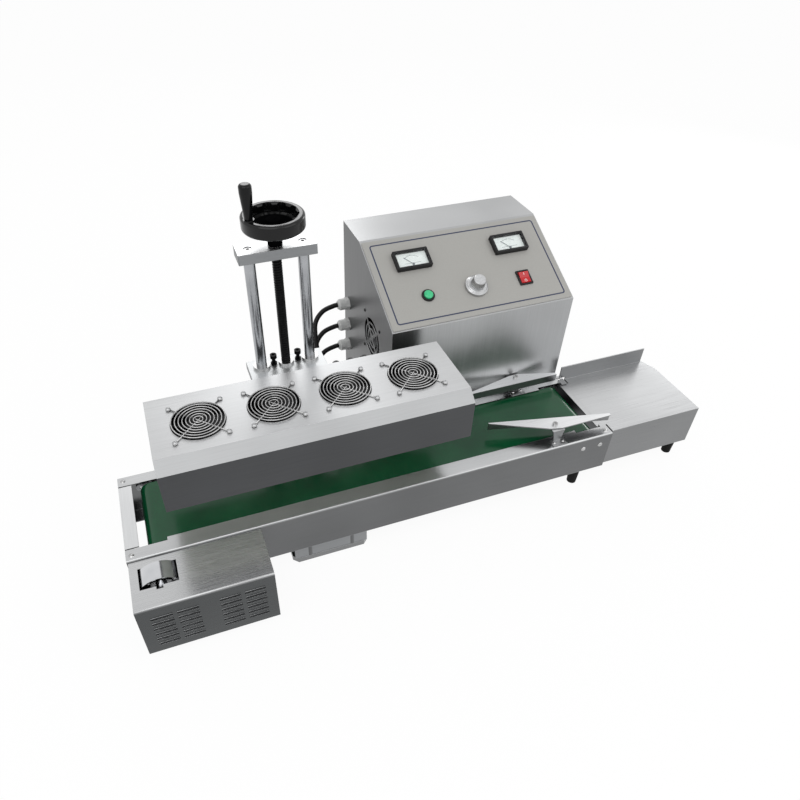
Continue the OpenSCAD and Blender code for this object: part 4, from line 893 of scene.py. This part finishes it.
class SEALER_OT_markings(bpy.types.Operator):
    """Printed border, dial scales and marks of knob and rocker"""

    bl_idname = "sealer.markings"
    bl_label = "Markings"

    def execute(self, context):
        finishes()
        self.border()
        for side, u in zip(("left", "right"), METERS):
            self.scale(side, u)
        self.knob_marks()
        self.rocker_marks()
        return {"FINISHED"}

    def border(self):
        """Rounded rectangle printed just inside the panel's edge."""
        low, high = Vector((12.5, 11.0)), Vector((319.0, 166.0))
        span, middle = (high - low) * MM, (low + high) / 2
        bm = bmesh.new()
        bmesh.ops.create_grid(bm, x_segments=1, y_segments=1, size=0.5)
        bmesh.ops.scale(bm, vec=(span.x, span.y, 1.0), verts=bm.verts)
        bmesh.ops.bevel(
            bm,
            geom=bm.verts[:],
            offset=5 * MM,
            affect="VERTICES",
            segments=6,
            profile=0.5,
            material=-1,
        )
        bmesh.ops.inset_region(
            bm,
            faces=bm.faces[:],
            thickness=sizes().line_w,
            use_boundary=True,
            use_even_offset=True,
        )
        inner = max(bm.faces, key=lambda face: face.calc_area())
        bmesh.ops.delete(bm, geom=[inner], context="FACES")
        grown = bmesh.ops.extrude_face_region(bm, geom=bm.faces[:])
        raised = [v for v in grown["geom"] if isinstance(v, bmesh.types.BMVert)]
        bmesh.ops.translate(bm, vec=(0.0, 0.0, 0.12 * MM), verts=raised)
        bmesh.ops.transform(bm, matrix=on_panel(middle.x, middle.y, 0.02), verts=bm.verts)
        piece("panel_border", bm, "border ink", "frame")

    def scale(self, side, u):
        """Ticks, arc and lower line of one meter."""
        # the needle's pivot lies 9 mm below the meter's middle, the dial's face 3.5 mm out
        pivot = on_panel(u, METER_UP - 9.0, 3.52)
        sweep, reach = 84, 17.5
        ticks, parts = 20, 28
        bm = bmesh.new()
        for k in range(ticks + 1):
            lean = turn(math.radians(sweep / 2 - sweep * k / ticks))
            long = 2.6 if k % 5 == 0 else 1.5
            tick = (0.28 * MM, long * MM, 0.04 * MM)
            block(bm, tick, pivot @ lean @ shift(0.0, reach + long / 2, 0.0))
        for k in range(parts):
            lean = turn(math.radians(sweep / 2 - sweep * (k + 0.5) / parts))
            # each part of the arc laps over the next a little
            part = (reach * MM * math.radians(3.1), 0.3 * MM, 0.04 * MM)
            block(bm, part, pivot @ lean @ shift(0.0, reach, 0.0))
        # printed line over the movement
        block(bm, (30.0 * MM, 0.5 * MM, 0.05 * MM), on_panel(u, METER_UP - 6.0, 3.53))
        piece("meter_scale_" + side, bm, "grey ink", "frame")

    def knob_marks(self):
        """Ticks on the knob's skirt and ribs round its grip."""
        bm = bmesh.new()
        # the skirt's slope falls from 8.3 mm to 4.8 mm over its outer 4 mm
        on_skirt = shift(0.0, 17.4, 6.66) @ turn(-math.atan2(3.5, 4.0), "X")
        for k in range(28):
            long = 2.6 if k % 3 == 0 else 1.5
            tick = (0.4 * MM, long * MM, 0.06 * MM)
            block(bm, tick, on_panel(*KNOB) @ turn(math.radians(135 - 10 * k)) @ on_skirt)
        piece("knob_ticks", bm, "black ink", "knob")
        bm = bmesh.new()
        # the grip narrows by 1.5 mm over 13 mm
        on_grip = shift(0.0, 10.9, 14.6) @ turn(math.atan2(1.5, 13.0), "X")
        ribs = 30
        for k in range(ribs):
            rib = (0.9 * MM, 0.9 * MM, 11.5 * MM)
            block(bm, rib, on_panel(*KNOB) @ turn(2 * math.pi * k / ribs) @ on_grip)
        piece("knob_grip", bm, "nickel plate", "knob")

    def rocker_marks(self):
        """Stroke and ring for on and off, moulded into the rocker."""
        # the rocker rests at 8 degrees, and its two faces lean by 1.5 mm in 11 mm
        hub = on_panel(*ROCKER, -1.0) @ turn(math.radians(8), "X")
        lean = math.atan2(1.5, 11.0)
        stroke = hub @ shift(0.0, 6.0, 4.84) @ turn(lean, "X")
        ring = hub @ shift(0.0, -6.0, 4.84) @ turn(-lean, "X")
        parts = 18
        bm = bmesh.new()
        block(bm, (0.8 * MM, 4.2 * MM, 0.06 * MM), stroke)
        for k in range(parts):
            place = ring @ turn(2 * math.pi * k / parts) @ shift(0.0, 2.0, 0.0)
            block(bm, (0.8 * MM, 0.7 * MM, 0.06 * MM), place)
        piece("rocker_marks", bm, "white ink", "mains_rocker")


class SEALER_PT_panel(bpy.types.Panel):
    """Lists the machine's groups"""

    bl_idname = "SEALER_PT_panel"
    bl_label = "Induction cap sealer"
    bl_space_type = "VIEW_3D"
    bl_region_type = "UI"
    bl_category = "Sealer"

    def draw(self, context):
        for operator in OPERATORS:
            self.layout.operator(operator.bl_idname)
        for group in (context.scene.sealer_sizes, context.scene.sealer_colours):
            for key in group.bl_rna.properties.keys():
                if key not in {"rna_type", "name"}:
                    self.layout.prop(group, key)


OPERATORS = (
    SEALER_OT_stage,
    SEALER_OT_cables,
    SEALER_OT_conveyor,
    SEALER_OT_stand,
    SEALER_OT_head,
    SEALER_OT_control_box,
    SEALER_OT_markings,
)
CLASSES = (SealerSizes, SealerColours) + OPERATORS + (SEALER_PT_panel,)


def register():
    for cls in CLASSES:
        bpy.utils.register_class(cls)
    bpy.types.Scene.sealer_sizes = bpy.props.PointerProperty(type=SealerSizes)
    bpy.types.Scene.sealer_colours = bpy.props.PointerProperty(type=SealerColours)


def unregister():
    del bpy.types.Scene.sealer_colours
    del bpy.types.Scene.sealer_sizes
    for cls in reversed(CLASSES):
        bpy.utils.unregister_class(cls)


def main():
    register()
    bpy.ops.sealer.stage()
    bpy.ops.sealer.cables()
    bpy.ops.sealer.conveyor()
    bpy.ops.sealer.stand()
    bpy.ops.sealer.head()
    bpy.ops.sealer.control_box()
    bpy.ops.sealer.markings()


if __name__ == "__main__":
    main()
